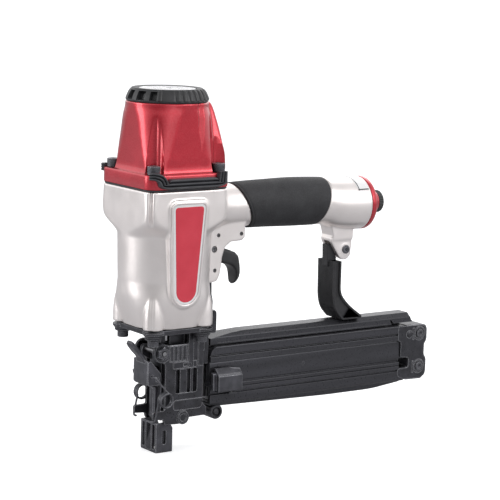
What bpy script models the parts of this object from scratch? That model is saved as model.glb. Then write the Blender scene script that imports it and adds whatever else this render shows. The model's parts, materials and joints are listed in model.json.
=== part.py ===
"""Pneumatic flooring stapler, built as separate solids.

World frame: metres, +Z up. The origin is the middle of the contact foot's front lip, where the
tool meets the floor. +X runs rearward to the handle and magazine, and -Y is the operator's left.
Sizes below are in millimetres and are scaled by MM where a shape is made. Every shape is drawn
about the drive axis, and the whole tool is moved to its origin at the end.
"""
import math

import bmesh
import bpy
from mathutils import Matrix, Vector

MM = 0.001
GAP = 0.3
DRIVE_AXIS_X = 9.0

# Heights of the drive stack
FOOT_TOP = 22.0
FLANGE_LOW = 86.0
FLANGE_TOP = 93.0
BODY_TOP = 192.6
HEAD_BASE = 194.0
HEAD_STEP = 204.0
HEAD_TOP = 252.6
TOOL_TOP = 262.0

# Cylinder body and head
BODY_HALF = 34.0
BODY_CORNER = 8.0
BORE_R = 25.3
SLEEVE_R = 25.0
SLEEVE_BORE = 22.0
HEAD_SCREW = 27.0
NOSE_SCREW = 20.5

# Driving parts
PISTON_TOP = 199.0
BLADE_TIP = 81.0
BLADE_HALF_X = 0.8
BLADE_HALF_Y = 5.5

# Handle
HANDLE_END = 172.6
HANDLE_END_Z = 171.2
GRIP_FRONT = 57.5
GRIP_REAR = 137.0
TOOL_REAR = 193.0
STAY_BOLT = (158.2, 0.0, 137.0)

# Trigger group, in the plane Y = 0
TRIGGER_PIVOT = (35.6, 145.7)
TRIP_PIVOT = (57.5, 139.2)
VALVE_X = 50.0
CROSS_PINS = {
    "valve_pin_front": (38.9, 0, 155.7),
    "valve_pin_rear": (58.8, 0, 155.7),
    "link_guide_pin": (36.3, 0, 130.2)}
WEB_HALF = 11.8
SLOT_HALF = 7.4

# Nose, in the plane Y = 0
HINGE = (-8.5, 74.0)
LATCH_PIVOT = (-9.5, 54.0)
WIRE_PIVOT = (-14.2, 57.0)
WIRE_HOOK = (-14.0, 24.0)
WIRE_COIL = (-6.0, 40.0)

# Magazine
CORE_HALF = 3.9
COVER_HALF = 13.0
COVER_FRONT = 34.0
COVER_REAR = 216.0
CAP_REAR = 237.0
CAP_BOLT_X = 229.0
CAP_BOLT_Z = (67.0, 41.0)
RAIL_LOW = 74.5
RAIL_TOP = 83.0
LATCH_PIN = (50.0, -16.5)

# Colours, roughness and metallic value of each finish
SILVER = ((0.62, 0.60, 0.57), 0.35, 0.9)
RED = ((0.45, 0.01, 0.02), 0.25, 0.6)
BLACK_STEEL = ((0.02, 0.02, 0.022), 0.4, 0.6)
BLACK_PLASTIC = ((0.015, 0.015, 0.016), 0.5, 0.0)
RUBBER = ((0.02, 0.02, 0.02), 0.8, 0.0)
STEEL = ((0.55, 0.56, 0.58), 0.3, 1.0)
BRASS = ((0.75, 0.6, 0.3), 0.35, 1.0)
WHITE = ((0.9, 0.9, 0.9), 0.4, 0.0)

for leftover in list(bpy.data.objects):
    bpy.data.objects.remove(leftover, do_unlink=True)


def new_collection(name):
    group = bpy.data.collections.new(name)
    bpy.context.scene.collection.children.link(group)
    return group


PARTS = new_collection("flooring_stapler")
CUTTERS = new_collection("cutters")
AXIS_TURN = {"Z": (0, 0, 0), "X": (0, math.pi / 2, 0), "Y": (-math.pi / 2, 0, 0)}
SIDES = (("left", -1), ("right", 1))


# ---------------------------------------------------------------- shared tools

def finish(obj, look):
    """Give a sub-part its own Principled material."""
    colour, roughness, metallic = look
    mat = bpy.data.materials.new(obj.name + "_finish")
    mat.use_nodes = True
    shader = mat.node_tree.nodes["Principled BSDF"]
    shader.inputs["Base Color"].default_value = (*colour, 1.0)
    shader.inputs["Roughness"].default_value = roughness
    shader.inputs["Metallic"].default_value = metallic
    mat.diffuse_color = (*colour, 1.0)
    obj.data.materials.append(mat)
    return obj


def add_mesh(name, bm, centre=(0, 0, 0), turn=(0, 0, 0)):
    """Make a mesh object from a bmesh whose sizes are in millimetres."""
    bmesh.ops.scale(bm, vec=(MM, MM, MM), verts=bm.verts)
    mesh = bpy.data.meshes.new(name)
    bm.to_mesh(mesh)
    bm.free()
    obj = bpy.data.objects.new(name, mesh)
    obj.location = Vector(centre) * MM
    obj.rotation_euler = turn
    PARTS.objects.link(obj)
    return obj


def smooth(obj, degrees=35):
    for face in obj.data.polygons:
        face.use_smooth = True
    obj.data.set_sharp_from_angle(angle=math.radians(degrees))
    return obj


def block(name, low, high):
    """A box between two corners."""
    low = Vector(low)
    high = Vector(high)
    bm = bmesh.new()
    bmesh.ops.create_cube(bm, size=1.0)
    bmesh.ops.scale(bm, vec=high - low, verts=bm.verts)
    return add_mesh(name, bm, (low + high) / 2)


def rod(name, centre, radius, length, axis="Z", sides=16, tip=None):
    """A round bar, or a cone when tip gives the far radius."""
    bm = bmesh.new()
    far = radius if tip is None else tip
    bmesh.ops.create_cone(
        bm, cap_ends=True, segments=sides, radius1=radius, radius2=far, depth=length)
    return smooth(add_mesh(name, bm, centre, AXIS_TURN[axis]))


def turned(name, profile, centre, axis="Z", steps=32, closed=False):
    """Turn a profile of (radius, height) points, which runs down its outer side."""
    bm = bmesh.new()
    corners = [bm.verts.new((radius, 0, height)) for radius, height in profile]
    for first, second in zip(corners, corners[1:]):
        bm.edges.new((first, second))
    if closed:
        bm.edges.new((corners[-1], corners[0]))
    obj = add_mesh(name, bm, centre, AXIS_TURN[axis])
    screw = obj.modifiers.new("turn", "SCREW")
    screw.axis = "Z"
    screw.steps = steps
    screw.render_steps = steps
    screw.use_merge_vertices = True
    screw.merge_threshold = 1e-5
    screw.use_smooth_shade = True
    return obj


def outline_mesh(name, loops, depth):
    """Fill flat outlines, with holes, and give them a thickness; returns a mesh."""
    curve = bpy.data.curves.new(name + "_outline", "CURVE")
    curve.dimensions = "2D"
    curve.fill_mode = "BOTH"
    curve.extrude = depth / 2 * MM
    for loop in loops:
        spline = curve.splines.new("POLY")
        spline.points.add(len(loop) - 1)
        for point, (x, y) in zip(spline.points, loop):
            point.co = (x * MM, y * MM, 0, 1)
        spline.use_cyclic_u = True
    holder = bpy.data.objects.new(name + "_outline", curve)
    mesh = bpy.data.meshes.new_from_object(holder)
    bm = bmesh.new()
    bm.from_mesh(mesh)
    bmesh.ops.remove_doubles(bm, verts=bm.verts, dist=1e-6)
    bm.to_mesh(mesh)
    bm.free()
    bpy.data.objects.remove(holder, do_unlink=True)
    bpy.data.curves.remove(curve)
    return mesh


def plate(name, loops, middle, depth, facing="Y"):
    """A flat plate: outline in XZ when it faces Y, in XY when it faces Z, in YZ when it faces X."""
    mesh = outline_mesh(name, loops, depth)
    obj = bpy.data.objects.new(name, mesh)
    PARTS.objects.link(obj)
    if facing == "Y":
        obj.rotation_euler = (math.pi / 2, 0, 0)
        obj.location = (0, middle * MM, 0)
    elif facing == "X":
        obj.rotation_euler = (math.pi / 2, 0, math.pi / 2)
        obj.location = (middle * MM, 0, 0)
    else:
        obj.location = (0, 0, middle * MM)
    return obj


def circle(x, y, radius, count=14):
    """Points round a circle."""
    turns = [2 * math.pi * (i + 0.5) / count for i in range(count)]
    return [(x + radius * math.cos(t), y + radius * math.sin(t)) for t in turns]


def rounded_radius(turn, half, corner):
    """Distance from the middle of a rounded square to its edge, in one direction."""
    long_side = max(abs(math.cos(turn)), abs(math.sin(turn)))
    short_side = min(abs(math.cos(turn)), abs(math.sin(turn)))
    flat = half / long_side
    inset = half - corner
    if flat * short_side <= inset:
        return flat
    along = inset * (long_side + short_side)
    return along + math.sqrt(along * along - 2 * inset * inset + corner * corner)


def rounded_square(half, corner, count=40):
    """Outline of a rounded square; a corner equal to half makes a circle."""
    turns = [2 * math.pi * i / count for i in range(count)]
    radii = [rounded_radius(t, half, corner) for t in turns]
    return [(r * math.cos(t), r * math.sin(t)) for r, t in zip(radii, turns)]


def rounded_plate(half, corner, arc=5):
    """Outline of a rounded square with points only where it turns."""
    inset = half - corner
    points = []
    for quarter, (sx, sy) in enumerate(((1, 1), (-1, 1), (-1, -1), (1, -1))):
        for i in range(arc + 1):
            turn = math.pi / 2 * (quarter + i / arc)
            x = sx * inset + corner * math.cos(turn)
            y = sy * inset + corner * math.sin(turn)
            points.append((x, y))
    return points


def loft(name, rings):
    """Skin a closed solid over rings of the same number of points."""
    bm = bmesh.new()
    rows = [[bm.verts.new(point) for point in ring] for ring in rings]
    count = len(rows[0])
    for low, high in zip(rows, rows[1:]):
        for i in range(count):
            j = (i + 1) % count
            bm.faces.new((low[i], low[j], high[j], high[i]))
    bm.faces.new(list(reversed(rows[0])))
    bm.faces.new(rows[-1])
    bmesh.ops.recalc_face_normals(bm, faces=bm.faces)
    return smooth(add_mesh(name, bm))


def square_loft(name, sections):
    """Loft rounded squares along Z; a section is (height, half width, corner radius)."""
    rings = []
    for z, half, corner in sections:
        rings.append([(x, y, z) for x, y in rounded_square(half, corner)])
    return loft(name, rings)


def oval_ring(x, middle_z, half_y, half_z, count=28):
    turns = [2 * math.pi * i / count for i in range(count)]
    return [(x, half_y * math.cos(t), middle_z + half_z * math.sin(t)) for t in turns]


def coil(name, x, y, low, high, radius, wire, turns, per_turn=8):
    """A compression spring standing along Z."""
    curve = bpy.data.curves.new(name, "CURVE")
    curve.dimensions = "3D"
    curve.bevel_depth = wire * MM
    curve.bevel_resolution = 2
    curve.use_fill_caps = True
    spline = curve.splines.new("POLY")
    count = int(turns * per_turn)
    spline.points.add(count)
    for i, point in enumerate(spline.points):
        turn = 2 * math.pi * i / per_turn
        rise = (high - low - 2 * wire) * i / count + wire
        point.co = (radius * math.cos(turn) * MM, radius * math.sin(turn) * MM, rise * MM, 1)
    obj = bpy.data.objects.new(name, curve)
    obj.location = Vector((x, y, low)) * MM
    PARTS.objects.link(obj)
    return finish(obj, STEEL)


def combine(target, tools, operation):
    """Boolean the tools into the target and file them with the cutters."""
    for tool in tools:
        step = target.modifiers.new(tool.name, "BOOLEAN")
        step.operation = operation
        step.solver = "EXACT"
        step.object = tool
        PARTS.objects.unlink(tool)
        CUTTERS.objects.link(tool)
        tool.hide_render = True
        tool.display_type = "WIRE"
    return target


def cut(target, *tools):
    return combine(target, tools, "DIFFERENCE")


def join(target, *tools):
    return combine(target, tools, "UNION")


def corners_of(reach):
    return [(sx * reach, sy * reach) for sx in (-1, 1) for sy in (-1, 1)]


def rod_set(name, centres, radius, length, axis="Z", sides=14):
    """Several equal round bars in one cutter mesh."""
    bm = bmesh.new()
    turn = Matrix.Rotation(math.pi / 2, 4, "X") if axis == "Y" else Matrix.Identity(4)
    for centre in centres:
        bmesh.ops.create_cone(
            bm, cap_ends=True, segments=sides, radius1=radius, radius2=radius, depth=length,
            matrix=Matrix.Translation(centre) @ turn)
    return add_mesh(name, bm)


def axis_empty(name, place):
    """An empty on a joint's axis, for the pieces that move about it."""
    empty = bpy.data.objects.new(name, None)
    empty.empty_display_size = 0.01
    empty.location = Vector(place) * MM
    PARTS.objects.link(empty)
    return empty


def hang(empty, *pieces):
    """Parent pieces to a joint's empty and leave them where they are."""
    for piece in pieces:
        piece.parent = empty
        piece.matrix_parent_inverse = Matrix.Translation(-empty.location)


def screw_profile(head_r, head_h, shank_r, length, socket_r):
    """Socket-head screw, head up, measured from under the head."""
    return [(0, head_h - 2.5), (socket_r, head_h - 2.5), (socket_r, head_h), (head_r, head_h),
            (head_r, 0), (shank_r, 0), (shank_r, -length), (0, -length)]


# ---------------------------------------------------------------- cylinder body

def body_housing():
    body = square_loft("body_housing", [
        (FLANGE_TOP + GAP, 26.6, 26.6), (100, 28.4, 28.4), (115, 32.5, 32.5), (126, 33.0, 33.0),
        (162, 34.6, 33.0), (171, BODY_HALF, BODY_CORNER), (BODY_TOP, BODY_HALF, BODY_CORNER)])
    web = plate("trigger_web", [[
        (28, 122.5), (38.3, 121.7), (41.6, 126.6), (42.6, 136), (43.6, 144.8), (47, 149.6),
        (58.4, 150), (61.8, 152), (62, 165), (28, 165)]], 0, 2 * WEB_HALF)
    hanger = plate("stay_hanger", [[(144, 153.5), (152, 129), (160, 129), (164.5, 153.5)]], 0, 14)
    join(body, handle_tube(), web, hanger, *body_bosses(), *badge_frames())
    cut(body, *body_bores(), *trigger_pockets())
    stay_slot = block("stay_slot", (143, -3.5, 126), (166, 3.5, 146))
    stay_hole = rod("stay_bolt_hole", STAY_BOLT, 2.4, 20, "Y")
    cut(body, stay_slot, stay_hole)
    return finish(body, SILVER)


def handle_tube():
    """Waisted under the grip, so that the rubber sits in a groove, and swelling to the rear end."""
    return loft("handle_tube", [
        oval_ring(15, 174.4, 21, 17.6), oval_ring(34, 174.4, 20, 17.6),
        oval_ring(44, 175.2, 16.5, 16.2), oval_ring(GRIP_FRONT - GAP, 175.4, 15.8, 15.8),
        oval_ring(GRIP_FRONT, 175.4, 13.4, 13.5), oval_ring(98, 175.3, 15.0, 15.0),
        oval_ring(GRIP_REAR, 174.4, 15.2, 15.2), oval_ring(GRIP_REAR + GAP, 174.3, 17.6, 17.8),
        oval_ring(148, 172.0, 19.4, 19.3), oval_ring(HANDLE_END, HANDLE_END_Z, 20.2, 20.2)])


def body_bores():
    """The cylinder bore, the air passages and the threaded holes."""
    bore = rod("cylinder_bore", (0, 0, 146), BORE_R, 100, sides=32)
    floor_hole = rod("blade_passage", (0, 0, 95), 9, 12, sides=20)
    airway = rod("handle_airway", (97, 0, 173.5), 9.5, 152, "X", 14)
    valve_seat = rod("valve_seat", (VALVE_X, 0, 158), 7.15, 20, sides=16)
    low_holes = [(x, y, 102) for x, y in corners_of(NOSE_SCREW)]
    high_holes = [(x, y, 184) for x, y in corners_of(HEAD_SCREW)]
    screws_up = rod_set("nose_screw_holes", low_holes, 2.7, 22, sides=12)
    screws_down = rod_set("head_screw_holes", high_holes, 2.8, 20, sides=12)
    return bore, floor_hole, airway, valve_seat, screws_up, screws_down


def body_bosses():
    """Four corner bosses that take the nose screws, with pointed tops."""
    bosses = []
    low = FLANGE_TOP + 2 * GAP
    profile = [(0, 121), (2.8, 118.5), (7.2, 108), (7.2, low), (0, low)]
    for number, (x, y) in enumerate(corners_of(NOSE_SCREW), 1):
        bosses.append(turned(f"nose_boss_{number}", profile, (x, y, 0), steps=14))
    return bosses


def badge_outline(half_top, half_low, top, low):
    """Shield shape: flat rounded top and a half-round foot, about the badge's own centre line."""
    middle = -2.0
    foot_z = low + half_low
    points = [(middle + half_low * math.cos(t), foot_z + half_low * math.sin(t))
              for t in [math.pi * (1 + i / 10) for i in range(11)]]
    points += [(middle + half_top, top - 4), (middle + half_top - 1.2, top - 1.2)]
    points += [(middle + half_top - 4, top), (middle - half_top + 4, top)]
    points += [(middle - half_top + 1.2, top - 1.2), (middle - half_top, top - 4)]
    return points


def badge_frames():
    outline = badge_outline(15, 13.5, 184.5, 110.5)
    return [plate(f"badge_frame_{side}", [outline], sign * 31.9, 7.4) for side, sign in SIDES]


def trigger_pockets():
    """Slot between the trigger cheeks, and the holes for the pins that cross it."""
    x, z = TRIGGER_PIVOT
    slot = block("trigger_slot", (33.6, -SLOT_HALF, 118), (72, SLOT_HALF, 149))
    pocket = rod("trigger_pocket", (x, 0, z), 5.0, 2 * SLOT_HALF, "Y", 20)
    pivot_hole = rod("trigger_pin_hole", (x, 0, z), 2.4, 30, "Y")
    small = rod_set("cross_pin_holes", list(CROSS_PINS.values()), 1.45, 30, "Y", 12)
    return slot, pocket, pivot_hole, small


def cylinder_sleeve():
    low = 96.0 + GAP
    profile = [(SLEEVE_R, HEAD_STEP), (SLEEVE_R, low), (SLEEVE_BORE, low), (SLEEVE_BORE, HEAD_STEP)]
    return finish(turned("cylinder_sleeve", profile, (0, 0, 0), steps=32, closed=True), STEEL)


def piston_bumper():
    profile = [(21.6, 107.5), (21.6, 96.6), (11.5, 96.6), (11.5, 104), (14, 107.5)]
    return finish(turned("piston_bumper", profile, (0, 0, 0), steps=28, closed=True), RUBBER)


def cylinder_head():
    head = square_loft("cylinder_head", [
        (HEAD_BASE, BODY_HALF, BODY_CORNER), (HEAD_STEP, BODY_HALF, BODY_CORNER), (204.5, 29.6, 9.5),
        (215, 29.3, 14), (230, 29.1, 19), (244, 29.1, 23), (HEAD_TOP, 29.4, 29.4)])
    bulge_rings = [[(14, -half, z), (reach, -half, z), (reach, half, z), (14, half, z)] for z, reach, half in (
        (202, 33.7, 26), (228, 33.5, 21), (243, 33.0, 15.5), (250.8, 28.6, 12.5))]
    bulge = loft("head_rear_bulge", bulge_rings)
    chamber = rod("head_chamber", (0, 0, 215), 26.2, 44, sides=40)
    guide = rod("valve_guide", (0, 0, 241), 12, 10, sides=24)
    screw_hole = rod("deflector_screw_hole", (0, 0, 248), 2.6, 14)
    channel_places = [(x, y, 230) for x, y in corners_of(HEAD_SCREW)]
    hole_places = [(x, y, 200) for x, y in corners_of(HEAD_SCREW)]
    channels = rod_set("screw_channels", channel_places, 6.2, 52, sides=20)
    holes = rod_set("head_screw_clearance", hole_places, 2.8, 16)
    return finish(cut(join(head, bulge), chamber, guide, screw_hole, channels, holes), RED)


def head_gasket():
    loops = [rounded_plate(33.6, BODY_CORNER), circle(0, 0, 26.4, 32)]
    loops += [circle(x, y, 3.0) for x, y in corners_of(HEAD_SCREW)]
    gasket = plate("head_gasket", loops, (BODY_TOP + HEAD_BASE) / 2, 0.8, facing="Z")
    return finish(gasket, RUBBER)


def head_screws():
    for number, (x, y) in enumerate(corners_of(HEAD_SCREW), 1):
        profile = screw_profile(4.5, 6.0, 2.5, 28, 2.3)
        finish(turned(f"head_screw_{number}", profile, (x, y, HEAD_STEP + GAP), steps=12), BLACK_STEEL)


def side_pads():
    for side, sign in SIDES:
        inner = BODY_HALF + GAP
        outline = [(-27, inner), (-28, 35.6), (-25.5, 38), (25.5, 38), (28, 35.6), (27, inner)]
        pad = plate(f"side_pad_{side}", [outline], 198.6, 8.8, "Z")
        pad.scale = (1, sign, 1)
        finish(pad, RUBBER)


def badges():
    for side, sign in SIDES:
        outline = badge_outline(13.4, 11.9, 182.8, 112.2)
        finish(plate(f"badge_{side}", [outline], sign * 36.3, 0.8), RED)


# ---------------------------------------------------------------- handle

def handle_grip():
    grip = loft("handle_grip", [
        oval_ring(GRIP_FRONT + GAP, 175.3, 15.6, 15.7), oval_ring(60, 175.3, 16.6, 16.7),
        oval_ring(85, 175.4, 17.3, 17.5), oval_ring(109, 175.2, 17.8, 18.1),
        oval_ring(130, 174.7, 17.9, 17.9), oval_ring(GRIP_REAR - GAP, 174.4, 17.6, 17.7)])
    inside = loft("grip_inside", [
        oval_ring(50, 175.4, 13.7, 13.8), oval_ring(GRIP_FRONT, 175.4, 13.7, 13.8),
        oval_ring(98, 175.3, 15.3, 15.3), oval_ring(142, 174.3, 15.5, 15.5)])
    web_room = block("web_room", (50, -WEB_HALF - GAP, 150), (62 + GAP, WEB_HALF + GAP, 165 + GAP))
    return finish(cut(grip, inside, web_room), RUBBER)


def handle_end_cap():
    profile = [(8.6, 188), (9.2, 183), (18, 178.2), (20.2, 176.5), (20.2, HANDLE_END + GAP),
               (6.4, HANDLE_END + GAP), (6.4, 188)]
    return finish(turned("handle_end_cap", profile, (0, 0, HANDLE_END_Z), "X", 32, closed=True), RED)


def air_inlet_plug():
    profile = [(0, TOOL_REAR), (7.7, TOOL_REAR), (8.6, 192.2), (8.6, 188.4), (6.1, 188.4),
               (6.1, 174), (0, 174)]
    return finish(turned("air_inlet_plug", profile, (0, 0, HANDLE_END_Z), "X", 28), BLACK_PLASTIC)


def rating_label():
    profile = [(20.9, 171.5), (20.9, 161), (20.45, 161), (20.45, 171.5)]
    label = turned("rating_label", profile, (0, 0, HANDLE_END_Z + 0.1), "X", 40, closed=True)
    keep = block("label_extent", (150, -30, 178), (180, 6, 200))
    return finish(combine(label, [keep], "INTERSECT"), WHITE)


# ---------------------------------------------------------------- exhaust and air valves

def exhaust_deflector():
    low = HEAD_TOP + GAP
    profile = [(25, TOOL_TOP), (29.4, low + 1.6), (29.0, low), (3.0, low), (3.0, 256), (6, 258.5),
               (20.6, 258.5), (20.6, TOOL_TOP)]
    return finish(turned("exhaust_deflector", profile, (0, 0, 0), steps=36, closed=True), BLACK_PLASTIC)


def deflector_disc():
    profile = [(0, 261.7), (20.2, 261.7), (20.2, 260.4), (0, 260.4)]
    return finish(turned("deflector_disc", profile, (0, 0, 0), steps=40), STEEL)


def deflector_screw():
    profile = [(0, 259.9), (4.2, 259.9), (5, 258.9), (5, 258.8), (2.2, 256), (2.2, 243), (0, 243)]
    return finish(turned("deflector_screw", profile, (0, 0, 0), steps=14), STEEL)


def head_valve():
    low = HEAD_STEP + GAP
    profile = [(0, 222), (11.2, 222), (11.2, 212), (25.4, 212), (25.4, low), (0, low)]
    return finish(turned("head_valve", profile, (0, 0, 0), steps=32), BLACK_PLASTIC)


def trigger_valve_body():
    profile = [(6.9, 167), (6.9, 149.6), (2.3, 149.6), (2.3, 155.5), (4.6, 155.5), (4.6, 167)]
    return finish(turned("trigger_valve_body", profile, (VALVE_X, 0, 0), steps=20, closed=True), BRASS)


def valve_stem():
    profile = [(0, 162.5), (1.9, 162.5), (1.9, 158.4), (4.2, 158.4), (4.2, 156.6), (1.9, 156.6),
               (1.9, 146.8), (1.2, 146.2), (0, 146.2)]
    return finish(turned("valve_stem", profile, (VALVE_X, 0, 0), steps=14), STEEL)


# ---------------------------------------------------------------- piston and blade

def piston():
    boss_low = 178.0
    face = 188.0
    profile = [(0, PISTON_TOP - 4), (14, PISTON_TOP), (21.7, PISTON_TOP), (21.7, 195.2), (19.5, 195.2),
               (19.5, 191.6), (21.7, 191.6), (21.7, face), (9, face), (9, boss_low), (0, boss_low)]
    body = turned("piston", profile, (0, 0, 0), steps=32)
    slot = block("blade_slot", (-1.1, -5.8, 170), (1.1, 5.8, 186.6))
    return finish(cut(body, slot), STEEL)


def piston_ring():
    profile = [(21.92, 194.8), (21.92, 192.0), (19.8, 192.0), (19.8, 194.8)]
    return finish(turned("piston_ring", profile, (0, 0, 0), steps=32, closed=True), RUBBER)


def driver_blade():
    tip = (-BLADE_HALF_X, -BLADE_HALF_Y, BLADE_TIP)
    return finish(block("driver_blade", tip, (BLADE_HALF_X, BLADE_HALF_Y, 186.3)), STEEL)


# ---------------------------------------------------------------- trigger group

def trigger():
    x, z = TRIGGER_PIVOT
    turns = [math.radians(70 + 25 * i) for i in range(7)]
    ear = [(x + 4.2 * math.cos(t), z + 4.2 * math.sin(t)) for t in turns]
    blade = plate("trigger", [ear + [
        (35, 141.5), (42, 136.5), (48.7, 133), (54, 131.5), (58, 128.5), (59.4, 124), (57, 117.6),
        (58.5, 116.5), (61.2, 120.5), (62.6, 126.7), (62.8, 133.9), (59.5, 140), (48.4, 144.1),
        (40, 148.3)]], 0, 14)
    well = block("trip_well", (30, -4.8, 136.9), (60.2, 4.8, 155))
    link_room = block("link_room", (30, -4.8, 125), (41.8, 4.8, 155))
    pivot_hole = rod("trigger_ear_hole", (x, 0, z), 2.4, 20, "Y")
    trip_hole = rod("trip_trunnion_hole", (TRIP_PIVOT[0], 0, TRIP_PIVOT[1]), 1.3, 20, "Y", 12)
    return finish(cut(blade, well, link_room, pivot_hole, trip_hole), BLACK_PLASTIC)


def trip_lever():
    lever = plate("trip_lever", [[
        (38.8, 142.5), (47, 141.8), (55.8, 137.7), (58.4, 137.5), (59.6, 139.2), (58.4, 141),
        (48, 144.1), (38.8, 144)]], 0, 5)
    trunnion = rod("trip_trunnion", (TRIP_PIVOT[0], 0, TRIP_PIVOT[1]), 1.0, 13.4, "Y", 12)
    return finish(join(lever, trunnion), STEEL)


def cross_pins():
    for name, place in CROSS_PINS.items():
        finish(rod(name, place, 1.2, 24.2, "Y", 12), BLACK_STEEL)
    x, z = TRIGGER_PIVOT
    finish(rod("trigger_pin", (x, 0, z), 2.1, 24.4, "Y", 16), BLACK_STEEL)


# ---------------------------------------------------------------- nose

def nose_frame():
    middle = (FLANGE_LOW + FLANGE_TOP) / 2
    nose = plate("nose_frame", [rounded_plate(26, 8)], middle, FLANGE_TOP - FLANGE_LOW, "Z")
    cheek = [(-13.2, 79), (-13.2, 69.5), (-5, 66), (-5, 31.5), (-15.5, 31.5), (-15.5, 25.5),
             (-5, 25.5), (-3, 21), (24, 21), (27, 24), (27, 87), (14, 87), (14, 78)]
    post = [(-1, 78), (-1, 24), (27, 24), (27, 87), (14, 87), (14, 78)]
    sides = []
    for side, sign in SIDES:
        sides.append(plate(f"nose_cheek_{side}", [cheek], sign * 12.55, 2.5))
        sides.append(plate(f"nose_post_{side}", [post], sign * 6.85, 1.7))
    crossbar = block("nose_crossbar", (20.5, -12.5, 24.5), (26.5, 12.5, 30))
    join(nose, *sides, crossbar)
    blade_hole = rod("flange_blade_hole", (0, 0, 90), 6.6, 12, sides=20)
    places = [(x, y, 90) for x, y in corners_of(NOSE_SCREW)]
    screw_holes = rod_set("flange_screw_holes", places, 2.7, 12)
    hinge_hole = rod("hinge_bolt_hole", (HINGE[0], 0, HINGE[1]), 2.3, 40, "Y")
    return finish(cut(nose, blade_hole, screw_holes, hinge_hole), BLACK_STEEL)


def nose_screws():
    profile = screw_profile(4.0, 4.4, 2.4, 25, 2.0)
    for number, (x, y) in enumerate(corners_of(NOSE_SCREW), 1):
        screw = turned(f"nose_screw_{number}", profile, (x, y, FLANGE_LOW - GAP), steps=12)
        screw.rotation_euler = (math.pi, 0, 0)
        finish(screw, BLACK_STEEL)


def nose_door():
    door = block("nose_door", (-5, -7.8, 23), (-1.3, 7.8, 70.5))
    rib = block("door_rib", (-7.7, -4, 26), (-4.5, 4, 47))
    arm = [(-4.4, 65), (-12, 69.5), (-12.5, 74), (-10.8, 77.2), (-6.2, 77.2), (-3.5, 74),
           (-1.6, 70.5), (-1.6, 65)]
    lug = [(-4, 49), (-11.5, 51), (-12, 54), (-11, 56.5), (-4, 58.5)]
    pieces = [rib]
    for side, sign in SIDES:
        pieces.append(plate(f"door_arm_{side}", [arm], sign * 8.4, 3.2))
        pieces.append(plate(f"door_lug_{side}", [lug], sign * 7.0, 1.8))
    join(door, *pieces)
    hinge_hole = rod("door_hinge_hole", (HINGE[0], 0, HINGE[1]), 2.3, 40, "Y")
    pin_hole = rod("door_latch_hole", (LATCH_PIVOT[0], 0, LATCH_PIVOT[1]), 1.6, 40, "Y", 12)
    return finish(cut(door, hinge_hole, pin_hole), BLACK_STEEL)


def door_hinge_bolt():
    profile = [(0, 17.4), (3.6, 17.4), (4.0, 16.8), (4.0, 14.1), (2.0, 14.1), (2.0, -17.6), (0, -17.6)]
    bolt = turned("door_hinge_bolt", profile, (HINGE[0], 0, HINGE[1]), "Y", 16)
    nut_profile = [(4.4, -14.1), (4.4, -17.3), (2.3, -17.3), (2.3, -14.1)]
    nut = turned("door_hinge_nut", nut_profile, (HINGE[0], 0, HINGE[1]), "Y", 6, closed=True)
    finish(nut, BLACK_STEEL)
    return finish(bolt, BLACK_STEEL)


def latch_lever():
    panel = block("latch_lever", (-17.6, -8.9, 50), (-16.1, 8.9, 68))
    tab = plate("latch_tab", [[
        (-16.1, 66), (-17.6, 66), (-18.6, 71), (-27.8, 81.2), (-26.9, 82.3), (-17.0, 72)]], 0, 9)
    ear = [(-17.6, 50), (-17.6, 67.6), (-6.6, 58.2), (-6.2, 53), (-8.5, 50.4)]
    ears = [plate(f"latch_ear_{side}", [ear], sign * 9.3, 1.6) for side, sign in SIDES]
    join(panel, tab, *ears)
    pin_hole = rod("lever_pin_hole", (LATCH_PIVOT[0], 0, LATCH_PIVOT[1]), 1.6, 40, "Y", 12)
    wire_hole = rod("lever_wire_hole", (WIRE_PIVOT[0], 0, WIRE_PIVOT[1]), 1.0, 40, "Y", 12)
    return finish(cut(panel, pin_hole, wire_hole), BLACK_STEEL)


def latch_pin():
    return finish(rod("latch_pin", (LATCH_PIVOT[0], 0, LATCH_PIVOT[1]), 1.3, 20.8, "Y", 12), BLACK_STEEL)


def wire_half(sign, wire_r):
    """Half of the bail: from the hook round the coil up to the cross bar."""
    side = 14.4
    coil_r = 5.2
    turns = 2
    points = [(WIRE_HOOK[0], 10.9, WIRE_HOOK[1]), (WIRE_HOOK[0], side, WIRE_HOOK[1])]
    steps = 10 * turns + 4
    start = math.radians(200)
    for i in range(steps + 1):
        turn = start - 2 * math.pi * i / 10
        out = side + 3.4 * wire_r * turns * i / steps
        points.append((WIRE_COIL[0] + coil_r * math.cos(turn), out, WIRE_COIL[1] + coil_r * math.sin(turn)))
    points.append((WIRE_PIVOT[0], side + 1.5, WIRE_PIVOT[1]))
    return [(x, sign * y, z) for x, y, z in points]


def latch_wire():
    wire_r = 0.6
    curve = bpy.data.curves.new("latch_wire", "CURVE")
    curve.dimensions = "3D"
    curve.bevel_depth = wire_r * MM
    curve.bevel_resolution = 2
    curve.use_fill_caps = True
    points = wire_half(-1, wire_r) + list(reversed(wire_half(1, wire_r)))
    spline = curve.splines.new("POLY")
    spline.points.add(len(points) - 1)
    for point, (x, y, z) in zip(spline.points, points):
        point.co = ((x - WIRE_PIVOT[0]) * MM, y * MM, (z - WIRE_PIVOT[1]) * MM, 1)
    obj = bpy.data.objects.new("latch_wire", curve)
    obj.location = Vector((WIRE_PIVOT[0], 0, WIRE_PIVOT[1])) * MM
    PARTS.objects.link(obj)
    return finish(obj, BLACK_STEEL)


# ---------------------------------------------------------------- safety

def contact_foot():
    foot = block("contact_foot", (-10, -10.5, 0), (4, 10.5, FOOT_TOP))
    inside = block("foot_inside", (-8, -8.5, -1), (6, 8.5, FOOT_TOP + 1))
    side_slot = block("foot_side_slot", (-5, -12, 6), (-1, 12, 18))
    return finish(cut(foot, inside, side_slot), BLACK_STEEL)


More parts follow.
